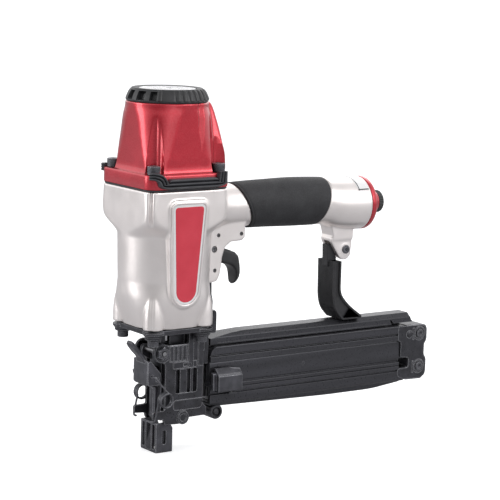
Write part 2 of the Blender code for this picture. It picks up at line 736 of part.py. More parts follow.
def safety_link():
    """Side plates inside the nose, a bridge behind the cylinder and a tongue up to the trigger."""
    low = FOOT_TOP + GAP
    side = [(-1, low), (8, low), (8, 62), (33.2, 62), (33.2, 86), (29.5, 86), (29.5, 72), (-1, 72)]
    sides = [plate(f"link_side_{name}", [side], sign * 9.5, 2.0) for name, sign in SIDES]
    bridge = block("safety_link", (29.5, -10.5, 84), (40, 10.5, 93))
    arm = block("link_arm", (34, -10, 92), (37.5, 10, 115.5))
    neck = block("link_neck", (34, -6.8, 114), (37.5, 6.8, 121))
    tongue = block("link_tongue", (34, -3, 119), (38.6, 3, 136))
    toe = block("link_toe", (36, -3, 132.4), (41, 3, 136))
    join(bridge, *sides, arm, neck, tongue, toe)
    guide = block("guide_slot", (34.9, -5, 123.2), (37.7, 5, 131.7))
    return finish(cut(bridge, guide), BLACK_STEEL)


# ---------------------------------------------------------------- magazine

def magazine_top_rail():
    top = RAIL_TOP
    section = [(-9, RAIL_LOW), (-9, top - 1), (-8, top), (8, top), (9, top - 1), (9, RAIL_LOW),
               (6.3, RAIL_LOW), (6.3, 79.8), (-6.3, 79.8), (-6.3, RAIL_LOW)]
    rail = plate("magazine_top_rail", [section], 128, 184, "X")
    foot = block("rail_foot", (205, -CORE_HALF, 60), (215.5, CORE_HALF, 80.5))
    slope = plate("rail_front_slope", [[(35, top + 1), (35, 79.7), (38, 79.7), (74, top + 1)]], 0, 24)
    tail = plate("rail_tail_slope", [[(214, top + 1), (221, 77), (221, top + 1)]], 0, 24)
    return finish(cut(join(rail, foot), slope, tail), BLACK_STEEL)


def staple_core():
    core = block("staple_core", (1.8, -CORE_HALF, 36), (204.6, CORE_HALF, 76.8))
    return finish(core, STEEL)


def magazine_cover():
    top = RAIL_LOW - 0.5
    half = COVER_HALF
    right = [(6.7, top), (half, top), (half, 67.8), (half - 0.6, 67.2), (half, 66.6), (half, 62),
             (half - 1, 61.4), (half - 1, 46.6), (half, 46), (half, 39.6), (half - 0.8, 39),
             (half, 38.4), (half, 32), (half - 1.6, 30.4)]
    inner = [(-6.7, 44.7), (-10.8, 44.7), (-10.8, 32.9), (10.8, 32.9), (10.8, 44.7), (6.7, 44.7)]
    left = [(-y, z) for y, z in reversed(right)]
    middle = (COVER_FRONT + COVER_REAR) / 2
    cover = plate("magazine_cover", [right + left + inner], middle, COVER_REAR - COVER_FRONT, "X")
    belly = plate("magazine_belly", [[
        (COVER_FRONT + 2, 31.4), (38, 28.8), (78, 27.9), (143, 26.2), (187, 26.2), (214, 29.4),
        (214, 31.4)]], 0, 12)
    low_lug = block("latch_lug_low", (46.5, -18.8, 39.2), (53.5, -11.7, 40.6))
    high_lug = block("latch_lug_high", (46.5, -18.8, 54.4), (53.5, -11.7, 55.8))
    join(cover, belly, low_lug, high_lug)
    return finish(cut(cover, rod("latch_pin_hole", (*LATCH_PIN, 47.5), 1.3, 24, "Z", 12)), BLACK_STEEL)


def magazine_end_cap():
    front = COVER_REAR + GAP
    outline = [(front, 31), (232, 30.4), (CAP_REAR, 34), (CAP_REAR, 48), (235, 52), (235, 56),
               (CAP_REAR, 60), (CAP_REAR, 71), (234, 74), (front, 74)]
    cap = plate("magazine_end_cap", [outline], 0, 2 * COVER_HALF)
    bolts = rod_set("cap_bolt_holes", [(CAP_BOLT_X, 0, z) for z in CAP_BOLT_Z], 2.3, 40, "Y")
    return finish(cut(cap, bolts), BLACK_STEEL)


def end_cap_bolts():
    reach = COVER_HALF + GAP
    profile = [(0, reach + 2.4), (3.0, reach + 2.4), (3.6, reach + 1.4), (3.6, reach), (2.0, reach),
               (2.0, -reach - 1.4), (0, -reach - 1.4)]
    for name, z in zip(("upper", "lower"), CAP_BOLT_Z):
        bolt = turned(f"end_cap_bolt_{name}", profile, (CAP_BOLT_X, 0, z), "Y", 16)
        finish(bolt, BLACK_STEEL)


def magazine_latch():
    plan = [(33, -13.5), (45, -13.5), (48, -14.8), (55, -15.2), (55, -18.6), (53.5, -20), (35, -20),
            (33, -18.5)]
    latch = plate("magazine_latch", [plan], 47.5, 13.0, "Z")
    hole = rod("latch_body_hole", (*LATCH_PIN, 47.5), 1.3, 20, "Z", 12)
    return finish(cut(latch, hole), BLACK_STEEL)


def magazine_latch_pin():
    return finish(rod("magazine_latch_pin", (*LATCH_PIN, 47.5), 1.0, 17, "Z", 12), STEEL)


def staple_pusher():
    section = [(4.3, 79), (4.3, 35.6), (-4.3, 35.6), (-4.3, 79), (-6.2, 79), (-6.2, 33.3),
               (6.2, 33.3), (6.2, 79)]
    saddle = plate("staple_pusher", [section], 48, 20, "X")
    stud = rod("roll_stud", (50, 7.6, 39.5), 2.2, 4.6, "Y", 14)
    return finish(join(saddle, stud), STEEL)


def pusher_spring():
    profile = [(5.0, 1.5), (5.0, -1.5), (2.6, -1.5), (2.6, 1.5)]
    return finish(turned("pusher_spring", profile, (50, 8.2, 39.5), "Y", 24, closed=True), STEEL)


def magazine_stay():
    strap = plate("magazine_stay", [[
        (145.2, 128.5), (146.6, 126), (146.8, 98), (149.2, 90), (155.5, 83.4), (173.2, 83.4),
        (173.2, 85.6), (160, 95), (151, 104.5), (150.6, 124), (151.8, 128.5)]], 0, 21)
    neck = plate("stay_neck", [[
        (144.7, 139.3), (145.2, 126), (152.0, 126), (151.6, 128.4), (147.8, 139.3)]], 0, 13)
    tongue = plate("stay_tongue", [[(146, 132), (162.6, 132.4), (162.6, 142), (146, 138.8)]], 0, 6.4)
    join(strap, neck, tongue)
    return finish(cut(strap, rod("stay_hole", STAY_BOLT, 2.4, 20, "Y")), RUBBER)


def stay_bolt():
    profile = [(0, 9.4), (2.8, 9.4), (3.3, 8.8), (3.3, 7.3), (2.1, 7.3), (2.1, -8.4), (0, -8.4)]
    return finish(turned("stay_bolt", profile, STAY_BOLT, "Y", 16), BLACK_STEEL)


# ---------------------------------------------------------------- assembly

def build_fixed_pieces():
    body_housing()
    cylinder_sleeve()
    piston_bumper()
    cylinder_head()
    head_gasket()
    head_screws()
    side_pads()
    badges()
    handle_grip()
    handle_end_cap()
    air_inlet_plug()
    rating_label()
    deflector_screw()
    trigger_valve_body()
    cross_pins()
    nose_frame()
    nose_screws()
    door_hinge_bolt()
    magazine_top_rail()
    staple_core()
    magazine_stay()
    stay_bolt()


def build_moving_pieces():
    hang(axis_empty("deflector_axis", (0, 0, HEAD_TOP)), exhaust_deflector(), deflector_disc())
    valve_spring = coil("head_valve_spring", 0, 0, 212 + GAP, 236.7, 15.5, 1.1, 3.5)
    hang(axis_empty("head_valve_axis", (0, 0, HEAD_STEP)), head_valve(), valve_spring)
    hang(axis_empty("piston_axis", (0, 0, PISTON_TOP)), piston(), piston_ring(), driver_blade())
    trigger_axis = axis_empty("trigger_axis", (TRIGGER_PIVOT[0], 0, TRIGGER_PIVOT[1]))
    hang(trigger_axis, trigger())
    hang(axis_empty("trip_axis", (TRIP_PIVOT[0], 0, TRIP_PIVOT[1])), trip_lever())
    stem_spring = coil("valve_spring", VALVE_X, 0, 158.4 + GAP, 166.8, 3.2, 0.5, 3)
    hang(axis_empty("valve_axis", (VALVE_X, 0, 146.2)), valve_stem(), stem_spring)
    safety_spring = coil("safety_spring", 19, -9.5, 72 + GAP, FLANGE_LOW - GAP, 1.1, 0.4, 4)
    hang(axis_empty("safety_axis", (0, 0, 0)), contact_foot(), safety_link(), safety_spring)
    hang(axis_empty("door_axis", (HINGE[0], 0, HINGE[1])), nose_door(), latch_pin())
    hang(axis_empty("latch_axis", (LATCH_PIVOT[0], 0, LATCH_PIVOT[1])), latch_lever())
    hang(axis_empty("wire_axis", (WIRE_PIVOT[0], 0, WIRE_PIVOT[1])), latch_wire())
    cover_axis = axis_empty("magazine_axis", (COVER_FRONT, 0, 52))
    hang(cover_axis, magazine_cover(), magazine_end_cap(), magazine_latch_pin())
    end_cap_bolts()
    hang(cover_axis, bpy.data.objects["end_cap_bolt_upper"], bpy.data.objects["end_cap_bolt_lower"])
    hang(axis_empty("magazine_latch_axis", (*LATCH_PIN, 47.5)), magazine_latch())
    hang(axis_empty("pusher_axis", (38, 0, 33.3)), staple_pusher(), pusher_spring())


def move_to_origin():
    """Set the whole tool so that the foot's front lip stands on the origin."""
    for group in (PARTS, CUTTERS):
        for obj in group.objects:
            if obj.parent is None:
                obj.location.x += DRIVE_AXIS_X * MM


build_fixed_pieces()
build_moving_pieces()
move_to_origin()
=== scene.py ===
"""Looks for the pneumatic flooring stapler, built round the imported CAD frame.

Shapes are drawn in millimetres about the drive axis. Their places come from the boxes of the CAD
nodes they stand for, and settle() moves each finished shape into the frame.
"""

import json
import math

import bmesh
import bpy
import numpy as np
from mathutils import Matrix, Vector


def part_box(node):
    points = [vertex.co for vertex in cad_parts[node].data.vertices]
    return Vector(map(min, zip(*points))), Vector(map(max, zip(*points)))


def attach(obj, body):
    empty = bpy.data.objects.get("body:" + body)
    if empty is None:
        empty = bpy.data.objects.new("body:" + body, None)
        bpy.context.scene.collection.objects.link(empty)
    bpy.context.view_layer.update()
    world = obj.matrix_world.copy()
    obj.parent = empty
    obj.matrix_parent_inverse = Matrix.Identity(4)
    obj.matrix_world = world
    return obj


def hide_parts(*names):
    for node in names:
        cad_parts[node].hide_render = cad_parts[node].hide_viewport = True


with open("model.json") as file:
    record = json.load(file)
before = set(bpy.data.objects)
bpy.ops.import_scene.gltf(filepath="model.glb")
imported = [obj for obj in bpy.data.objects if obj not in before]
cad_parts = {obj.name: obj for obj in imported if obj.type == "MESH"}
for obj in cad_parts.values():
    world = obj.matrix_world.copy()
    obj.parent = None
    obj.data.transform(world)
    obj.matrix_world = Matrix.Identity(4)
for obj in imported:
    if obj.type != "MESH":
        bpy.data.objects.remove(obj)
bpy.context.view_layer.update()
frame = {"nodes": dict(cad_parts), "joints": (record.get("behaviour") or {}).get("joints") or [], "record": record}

MM = 0.001
TAU = 2 * math.pi
JOINTS = {joint["name"]: joint for joint in frame["joints"]}
AXIS_X = JOINTS["deflector_turn"]["pos_m"][0]
SIDES = (("left", -1), ("right", 1))
SIGNS = (-1, 1)


def span(node):
    """Lowest and highest corner of a CAD node, in millimetres about the drive axis."""
    low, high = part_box(node)
    shift = Vector((AXIS_X, 0, 0))
    return (low - shift) / MM, (high - shift) / MM


def middle(node):
    low, high = span(node)
    return (low + high) / 2


def across(node):
    """Middle of a piece that crosses the tool, on the tool's own middle plane."""
    place = middle(node)
    return place.x, 0, place.z


def joint_place(name):
    """A joint's place in side view, in millimetres about the drive axis."""
    place = JOINTS[name]["pos_m"]
    return (place[0] - AXIS_X) / MM, place[2] / MM


# ------------------------------------------------------------------ curves and outlines

def flow(at, knots, values):
    """Smooth curve through knots: a cubic between each pair, with averaged slopes."""
    at = np.asarray(at, float)
    knots = np.asarray(knots, float)
    values = np.asarray(values, float)
    steps = np.diff(values) / np.diff(knots)
    slopes = np.concatenate([[steps[0]], (steps[:-1] + steps[1:]) / 2, [steps[-1]]])
    i = np.clip(np.searchsorted(knots, at) - 1, 0, len(knots) - 2)
    width = knots[i + 1] - knots[i]
    t = np.clip((at - knots[i]) / width, 0, 1)
    rise = values[i] * (1 + 2 * t) * (1 - t) ** 2 + values[i + 1] * t * t * (3 - 2 * t)
    return rise + width * (slopes[i] * t * (1 - t) ** 2 + slopes[i + 1] * t * t * (t - 1))


def fade(value, start, end):
    """0 before start, 1 after end, and smooth between them."""
    t = np.clip((np.asarray(value, float) - start) / (end - start), 0, 1)
    return t * t * (3 - 2 * t)


def smooth_min(a, b, blend):
    near = np.clip(0.5 + 0.5 * (b - a) / blend, 0, 1)
    return b * (1 - near) + a * near - blend * near * (1 - near)


def smooth_max(a, b, blend):
    return -smooth_min(-np.asarray(a), -np.asarray(b), blend)


def rounded(points, radius, closed=True, steps=4):
    """Round the corners of an outline."""
    corners = [Vector(point) for point in points]
    last = len(corners) - 1
    out = []
    for i, corner in enumerate(corners):
        if not closed and i in (0, last):
            out.append(tuple(corner))
            continue
        back = corners[i - 1] - corner
        ahead = corners[(i + 1) % len(corners)] - corner
        reach = min(radius, 0.45 * back.length, 0.45 * ahead.length)
        start = corner + back.normalized() * reach
        end = corner + ahead.normalized() * reach
        for k in range(steps + 1):
            t = k / steps
            out.append(tuple(start * (1 - t) ** 2 + corner * 2 * t * (1 - t) + end * t * t))
    return out


def inset(loop, depth):
    """Move each point of an outline inwards by a depth."""
    points = np.array(loop, float)
    ahead = np.roll(points, -1, 0) - np.roll(points, 1, 0)
    ahead /= np.linalg.norm(ahead, axis=1, keepdims=True)
    area = np.sum(points[:, 0] * np.roll(points[:, 1], -1) - np.roll(points[:, 0], -1) * points[:, 1])
    side = 1 if area > 0 else -1
    moved = points + side * depth * np.stack([-ahead[:, 1], ahead[:, 0]], -1)
    return [tuple(point) for point in moved]


def circle(x, y, radius, count=32):
    turns = [TAU * i / count for i in range(count)]
    return [(x + radius * math.cos(t), y + radius * math.sin(t)) for t in turns]


def box_outline(x0, y0, x1, y1, radius=0.6):
    return rounded([(x0, y0), (x1, y0), (x1, y1), (x0, y1)], radius)


def square_radius(turn, half, corner):
    """Distance from the middle of a rounded square to its edge, in each direction."""
    across = np.abs(np.cos(turn))
    along = np.abs(np.sin(turn))
    large = np.maximum(across, along)
    small = np.minimum(across, along)
    flat = half / large
    straight = half - corner
    middle_line = straight * (large + small)
    arc = np.sqrt(np.maximum(middle_line ** 2 - 2 * straight ** 2 + corner ** 2, 0))
    return np.where(flat * small <= straight, flat, middle_line + arc)


def angle_from(turn, centre):
    """Signed angle from a direction, between minus pi and pi."""
    return (turn - centre + math.pi) % TAU - math.pi


# ------------------------------------------------------------------ mesh tools

def link(name, mesh):
    obj = bpy.data.objects.new(name, mesh)
    bpy.context.scene.collection.objects.link(obj)
    return obj


def clean(mesh, flat_angle=0.0):
    """Weld a mesh, join its flat faces if asked, and turn its faces out."""
    bm = bmesh.new()
    bm.from_mesh(mesh)
    bmesh.ops.remove_doubles(bm, verts=bm.verts, dist=1e-4)
    if flat_angle:
        bmesh.ops.dissolve_limit(bm, angle_limit=flat_angle, verts=bm.verts, edges=bm.edges)
    bmesh.ops.recalc_face_normals(bm, faces=bm.faces)
    bm.to_mesh(mesh)
    bm.free()


def make(name, points, faces):
    """A mesh object with its faces pointing out."""
    mesh = bpy.data.meshes.new(name)
    mesh.from_pydata([tuple(point) for point in points], [], faces)
    clean(mesh)
    return link(name, mesh)


def drawn(name, loops, closed, **settings):
    """Mesh of a curve drawn through loops of points."""
    curve = bpy.data.curves.new(name, "CURVE")
    for key, value in settings.items():
        setattr(curve, key, value)
    for loop in loops:
        spline = curve.splines.new("POLY")
        spline.points.add(len(loop) - 1)
        for point, place in zip(spline.points, loop):
            point.co = (*Vector(place).to_3d(), 1)
        spline.use_cyclic_u = closed
    holder = bpy.data.objects.new(name, curve)
    mesh = bpy.data.meshes.new_from_object(holder)
    bpy.data.objects.remove(holder, do_unlink=True)
    bpy.data.curves.remove(curve)
    return mesh


def skin(name, rows, ends="caps"):
    """Skin over rings of equal length. The ends are capped, joined to each other, or open."""
    grid = np.asarray(rows, float)
    height, count = grid.shape[:2]
    ids = np.arange(height * count).reshape(height, count)
    low = ids if ends == "joined" else ids[:-1]
    high = np.roll(ids, -1, 0) if ends == "joined" else ids[1:]
    quads = np.stack([low, np.roll(low, -1, 1), np.roll(high, -1, 1), high], -1).reshape(-1, 4)
    faces = quads.tolist()
    if ends == "caps":
        faces += [ids[0][::-1].tolist(), ids[-1].tolist()]
    return make(name, grid.reshape(-1, 3), faces)


def lathe(name, profile, centre=(0, 0, 0), axis="Z", steps=64, ends="caps", shape=None):
    """Turn (radius, height) points about an axis; shape may change a ring's radius."""
    turns = np.arange(steps) * TAU / steps
    rows = []
    for radius, height in profile:
        ring = np.full(steps, float(radius))
        if shape is not None:
            ring = shape(turns, ring, height)
        across = ring * np.cos(turns)
        along = ring * np.sin(turns)
        level = np.full(steps, float(height))
        order = {"Z": (across, along, level), "X": (level, across, along), "Y": (along, level, across)}
        rows.append(np.stack(order[axis], -1) + np.array(centre, float))
    return skin(name, rows, ends)


STAND = Matrix.Rotation(math.pi / 2, 4, "X")
FACINGS = {"X": ((1, 0, 0), Matrix.Rotation(math.pi / 2, 4, "Z") @ STAND), "Y": ((0, 1, 0), STAND),
           "Z": ((0, 0, 1), Matrix.Identity(4))}


def slab(name, loops, centre, depth, facing="Y", bevel=0.4, segments=2):
    """A plate with softened edges: outline in XZ facing Y, in XY facing Z, in YZ facing X."""
    mesh = drawn(name, loops, True, dimensions="2D", fill_mode="BOTH", extrude=depth / 2)
    axis, turn = FACINGS[facing]
    mesh.transform(Matrix.Translation(Vector(axis) * centre) @ turn)
    clean(mesh, 0.01)
    obj = link(name, mesh)
    return soften(obj, bevel, segments) if bevel else obj


def soften(obj, width, segments=2):
    """Round a shape's sharp edges."""
    edge = obj.modifiers.new("edges", "BEVEL")
    edge.width = width
    edge.segments = segments
    edge.limit_method = "ANGLE"
    edge.angle_limit = math.radians(40)
    edge.use_clamp_overlap = True
    return obj


def tube(name, points, radius, sides):
    """A round wire along a path."""
    mesh = drawn(name, [points], False, dimensions="3D", bevel_depth=radius, bevel_resolution=sides,
                 use_fill_caps=True)
    clean(mesh)
    return link(name, mesh)


def hook_loft(name, stations, power=4.0, count=40):
    """Loft rounded rectangles; a station is (outer point, inner point, half width) in XZ."""
    turns = np.arange(count) * TAU / count
    across = np.sign(np.cos(turns)) * np.abs(np.cos(turns)) ** (2 / power)
    along = np.sign(np.sin(turns)) * np.abs(np.sin(turns)) ** (2 / power)
    rows = []
    for outer, inner, half in stations:
        centre = (np.array(outer) + np.array(inner)) / 2
        arm = (np.array(outer) - np.array(inner)) / 2
        rows.append(np.stack([centre[0] + arm[0] * across, half * along,
                              centre[1] + arm[1] * across], -1))
    return skin(name, rows)


def sided(obj, sign):
    """Mirror a shape drawn for the right side if it is for the left."""
    if sign < 0:
        obj.data.transform(Matrix.Scale(-1, 4, (0, 1, 0)))
        obj.data.flip_normals()
    return obj


def baked(obj):
    """The object's mesh with its modifiers applied."""
    bpy.context.view_layer.update()
    graph = bpy.context.evaluated_depsgraph_get()
    return bpy.data.meshes.new_from_object(obj.evaluated_get(graph))


def merge(name, *objs):
    """Put several shapes into one object."""
    bm = bmesh.new()
    for obj in objs:
        mesh = baked(obj)
        mesh.transform(obj.matrix_world)
        bm.from_mesh(mesh)
        bpy.data.meshes.remove(mesh)
        bpy.data.objects.remove(obj, do_unlink=True)
    mesh = bpy.data.meshes.new(name)
    bm.to_mesh(mesh)
    bm.free()
    return link(name, mesh)


def boolean(obj, tool, operation="DIFFERENCE"):
    step = obj.modifiers.new("cut", "BOOLEAN")
    step.operation = operation
    step.solver = "MANIFOLD"
    step.object = tool
    mesh = baked(obj)
    bpy.data.objects.remove(tool, do_unlink=True)
    obj.modifiers.clear()
    obj.data = mesh
    return obj


def cut(obj, *tools):
    """Take closed shapes out of a closed shape."""
    obj.data = baked(obj)
    obj.modifiers.clear()
    for tool in tools:
        boolean(obj, tool)
    return obj


def cast(obj, voxel, relax):
    """Fuse overlapping shapes and give their joins the soft fillets of a casting."""
    step = obj.modifiers.new("fuse", "REMESH")
    step.mode = "VOXEL"
    step.voxel_size = voxel
    step.use_smooth_shade = True
    smooth = obj.modifiers.new("relax", "SMOOTH")
    smooth.iterations = relax
    smooth.factor = 0.5
    obj.data = baked(obj)
    obj.modifiers.clear()
    return obj


def settle(obj, look, body, slot, *nodes, sharp=35, flat_faces=True):
    """Bake a shape, move it into the frame, paint it, and let it ride in place of CAD nodes."""
    mesh = baked(obj)
    obj.modifiers.clear()
    obj.data = mesh
    mesh.transform(Matrix.Translation((AXIS_X, 0, 0)) @ Matrix.Scale(MM, 4))
    mesh.shade_smooth()
    mesh.set_sharp_from_angle(angle=math.radians(sharp))
    if flat_faces:
        normals = obj.modifiers.new("normals", "WEIGHTED_NORMAL")
        normals.keep_sharp = True
    if not any(mesh.materials):
        mesh.materials.clear()
        mesh.materials.append(look)
    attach(obj, body)
    if nodes:
        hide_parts(*nodes)
    return obj


# ------------------------------------------------------------------ materials

class Nodes:
    """Short calls for building a node tree."""

    def __init__(self, name):
        self.material = bpy.data.materials.new(name)
        self.material.use_nodes = True
        self.tree = self.material.node_tree
        self.shader = self.tree.nodes["Principled BSDF"]
        self.place = self.add("ShaderNodeTexCoord").outputs["Object"]

    def add(self, kind, **settings):
        node = self.tree.nodes.new(kind)
        for key, value in settings.items():
            if key in node.inputs:
                node.inputs[key].default_value = value
            else:
                setattr(node, key, value)
        return node

    def join(self, source, target):
        self.tree.links.new(source, target)

    def noise(self, scale, detail=3.0, stretch=None):
        """Noise with features about 1/scale metres across, stretched along an axis if asked."""
        node = self.add("ShaderNodeTexNoise", Scale=scale, Detail=detail)
        where = self.place
        if stretch:
            mapping = self.add("ShaderNodeMapping", Scale=stretch)
            self.join(self.place, mapping.inputs["Vector"])
            where = mapping.outputs["Vector"]
        self.join(where, node.inputs["Vector"])
        return node.outputs["Fac"]

    def cells(self, scale):
        node = self.add("ShaderNodeTexVoronoi", Scale=scale)
        self.join(self.place, node.inputs["Vector"])
        return node.outputs["Distance"]

    def ranged(self, value, low, high, start=0.0, end=1.0):
        """Map a value from start..end to low..high, and hold it there."""
        node = self.add("ShaderNodeMapRange")
        node.inputs["From Min"].default_value = start
        node.inputs["From Max"].default_value = end
        node.inputs["To Min"].default_value = low
        node.inputs["To Max"].default_value = high
        self.join(value, node.inputs["Value"])
        return node.outputs["Result"]

    def mix(self, share, first, second):
        """Blend two colours, or two colour outputs."""
        node = self.add("ShaderNodeMix", data_type="RGBA")
        self.join(share, node.inputs[0])
        for socket, colour in ((node.inputs[6], first), (node.inputs[7], second)):
            if isinstance(colour, tuple):
                socket.default_value = (*colour, 1.0)
            else:
                self.join(colour, socket)
        return node.outputs[2]

    def edges(self, radius):
        """1 on worn convex edges and 0 on open faces."""
        bevel = self.add("ShaderNodeBevel", samples=4, Radius=radius)
        geometry = self.add("ShaderNodeNewGeometry")
        dot = self.add("ShaderNodeVectorMath", operation="DOT_PRODUCT")
        self.join(bevel.outputs["Normal"], dot.inputs[0])
        self.join(geometry.outputs["Normal"], dot.inputs[1])
        return self.ranged(dot.outputs["Value"], 1.0, 0.0, 0.86, 0.992)

    def patches(self, scale, detail, first, second, stretch=None):
        """A cloudy blend of two colours, or of two levels."""
        share = self.noise(scale, detail, stretch)
        if isinstance(first, tuple):
            return self.mix(self.ranged(share, 0, 1, 0.3, 0.7), first, second)
        return self.ranged(share, first, second, 0.3, 0.7)

    def painted_corner_shade(self, colour, reach, share, dark):
        """Painted shade: darken the colour in corners, seams and recesses that ambient occlusion finds."""
        node = self.add("ShaderNodeAmbientOcclusion", samples=12, Distance=reach)
        corners = self.ranged(node.outputs["AO"], 1.0, 0.0, 0.10, 0.62)
        return self.mix(self.ranged(corners, 0, share), colour, dark)

    def bump(self, height, strength, distance, under=None):
        node = self.add("ShaderNodeBump", Strength=strength, Distance=distance)
        self.join(height, node.inputs["Height"])
        if under is not None:
            self.join(under, node.inputs["Normal"])
        self.join(node.outputs["Normal"], self.shader.inputs["Normal"])
        return node.outputs["Normal"]

    def set(self, **values):
        for key, value in values.items():
            socket = self.shader.inputs[key.replace("_", " ")]
            if hasattr(value, "links"):
                self.join(value, socket)
            elif isinstance(value, tuple):
                socket.default_value = (*value, 1.0)
            else:
                socket.default_value = value
        return self


def silver_paint():
    look = Nodes("silver_cast_paint")
    colour = look.patches(28, 4, (0.87, 0.815, 0.79), (0.96, 0.905, 0.885))
    flake = look.ranged(look.noise(900, 1), 0, 0.08, 0.35, 0.65)
    colour = look.mix(flake, colour, (0.99, 0.97, 0.96))
    # Painted shade: the silver turns dark brown-grey in corners and seams.
    colour = look.painted_corner_shade(colour, 0.004, 0.55, (0.16, 0.15, 0.145))
    look.set(Base_Color=colour, Roughness=look.patches(110, 2, 0.31, 0.37), Metallic=0.82,
             Coat_Weight=0.12, Coat_Roughness=0.3)
    look.bump(look.noise(420, 1), 0.03, 0.0003)
    return look.material


def red_paint():
    look = Nodes("red_metallic_enamel")
    colour = look.patches(36, 4, (0.48, 0.010, 0.024), (0.60, 0.022, 0.042))
    flake = look.ranged(look.noise(900, 1), 0, 0.10, 0.35, 0.65)
    colour = look.mix(flake, colour, (0.85, 0.16, 0.18))
    # Painted shade: the red turns near black in corners and seams.
    colour = look.painted_corner_shade(colour, 0.004, 0.6, (0.06, 0.002, 0.004))
    look.set(Base_Color=colour, Roughness=look.patches(110, 2, 0.28, 0.34), Metallic=0.62,
             Coat_Weight=0.85, Coat_Roughness=0.10)
    look.bump(look.noise(420, 1), 0.03, 0.0003)
    return look.material


def gloss_print(name, first, second):
    look = Nodes(name)
    look.set(Base_Color=look.patches(60, 3, first, second), Roughness=look.patches(140, 2, 0.18, 0.25),
             Coat_Weight=0.5, Coat_Roughness=0.06)
    look.bump(look.noise(160, 1), 0.02, 0.0006)
    return look.material


def dark_rubber():
    look = Nodes("grained_rubber")
    colour = look.patches(90, 4, (0.017, 0.017, 0.019), (0.030, 0.030, 0.033))
    dust = look.ranged(look.noise(900, 4), 0, 0.35, 0.55, 0.75)
    colour = look.mix(dust, colour, (0.055, 0.055, 0.058))
    look.set(Base_Color=colour, Roughness=look.patches(1400, 3, 0.55, 0.75), Specular_IOR_Level=0.45)
    grain = look.bump(look.cells(1500), 0.55, 0.00012)
    look.bump(look.noise(260, 3), 0.10, 0.0004, grain)
    return look.material


def pad_rubber():
    look = Nodes("smooth_rubber")
    colour = look.patches(120, 4, (0.034, 0.035, 0.040), (0.052, 0.053, 0.060))
    # Painted shade: the rubber turns almost black in the grooves between its ribs.
    colour = look.painted_corner_shade(colour, 0.0025, 0.8, (0.004, 0.004, 0.005))
    look.set(Base_Color=colour, Roughness=look.patches(1300, 3, 0.40, 0.56))
    look.bump(look.noise(2200, 2), 0.12, 0.0001)
    return look.material


def black_plastic():
    look = Nodes("moulded_black_plastic")
    colour = look.patches(140, 4, (0.016, 0.016, 0.017), (0.028, 0.028, 0.030))
    colour = look.mix(look.ranged(look.edges(0.0005), 0, 0.55), colour, (0.085, 0.085, 0.09))
    look.set(Base_Color=colour, Roughness=look.patches(1000, 3, 0.34, 0.50))
    look.bump(look.noise(3200, 2), 0.22, 0.00012)
    return look.material


def black_steel(name, base, stretch=None, shine=0.31, edge_wear_and_highlight=1.0):
    """Phosphated or powder-coated steel with bright rubbed edges, lightened also as painted edge highlights."""
    look = Nodes(name)
    light = base * 1.7
    colour = look.patches(160, 4, (base, base, base * 1.12), (light, light, base * 1.95), stretch)
    scuff = look.ranged(look.noise(900, 5, stretch), 0, 1, 0.45, 0.75)
    # Rubbed wear and painted highlight: convex edges, broken up by scuff noise, are lightened to grey.
    rubbed_and_highlit_edges = look.add("ShaderNodeMath", operation="MULTIPLY")
    look.join(look.edges(0.0009), rubbed_and_highlit_edges.inputs[0])
    look.join(look.ranged(scuff, 0.5, 1), rubbed_and_highlit_edges.inputs[1])
    colour = look.mix(look.ranged(rubbed_and_highlit_edges.outputs[0], 0, edge_wear_and_highlight), colour, (0.58, 0.58, 0.61))
    # Painted shade: the steel turns black in recesses, corners and seams.
    colour = look.painted_corner_shade(colour, 0.005, 0.92, (0.003, 0.003, 0.003))
    look.set(Base_Color=colour, Roughness=look.patches(700, 4, shine - 0.06, shine + 0.10), Metallic=0.55)
    look.bump(look.noise(2400, 3, stretch), 0.16, 0.00012)
    return look.material


def bright_metal(name, first, second, rough_low, rough_high, stretch=(1, 1, 14)):
    look = Nodes(name)
    colour = look.patches(700, 4, first, second, stretch)
    # Painted shade: the metal turns dark in corners and seams.
    colour = look.painted_corner_shade(colour, 0.002, 0.5, (0.05, 0.045, 0.04))
    look.set(Base_Color=colour, Roughness=look.patches(1500, 3, rough_low, rough_high, stretch), Metallic=1.0)
    look.bump(look.noise(2600, 2, stretch), 0.10, 0.0001)
    return look.material


def staple_strip():
    """Collated wire: fine upright lines where the staples' legs touch."""
    look = Nodes("collated_staples")
    wave = look.add("ShaderNodeTexWave", Scale=120.0, Distortion=0.15)
    look.join(look.place, wave.inputs["Vector"])
    lines = wave.outputs["Fac"]
    colour = look.patches(260, 4, (0.36, 0.36, 0.37), (0.50, 0.50, 0.52), (1, 1, 0.1))
    colour = look.mix(look.ranged(lines, 0.75, 0.0, 0.0, 0.35), colour, (0.05, 0.05, 0.05))
    look.set(Base_Color=colour, Roughness=look.patches(1200, 3, 0.28, 0.42), Metallic=0.9)
    look.bump(lines, 0.5, 0.0003)
    return look.material


SILVER = silver_paint()
RED = red_paint()
BADGE_RED = gloss_print("badge_red_gloss", (0.64, 0.025, 0.050), (0.72, 0.040, 0.070))
WHITE = gloss_print("white_print", (0.80, 0.80, 0.80), (0.88, 0.88, 0.88))
BLACK_LINE = gloss_print("black_print", (0.012, 0.012, 0.012), (0.02, 0.02, 0.02))
RUBBER = dark_rubber()
PAD_RUBBER = pad_rubber()
PLASTIC = black_plastic()
STEEL_BLACK = black_steel("black_steel", 0.034)
STEEL_LONG = black_steel("black_steel_drawn", 0.038, (0.05, 1, 1), 0.30, 0.22)
STEEL_SMOOTH = black_steel("black_steel_smooth", 0.058, None, 0.33)
SCREW_BLACK = black_steel("black_oxide_screw", 0.050, None, 0.30)
STEEL_BARE = bright_metal("ground_steel", (0.42, 0.42, 0.43), (0.58, 0.58, 0.60), 0.22, 0.36)
SCREW_GREY = bright_metal("dull_zinc", (0.20, 0.20, 0.21), (0.34, 0.34, 0.35), 0.26, 0.42, (1, 1, 1))
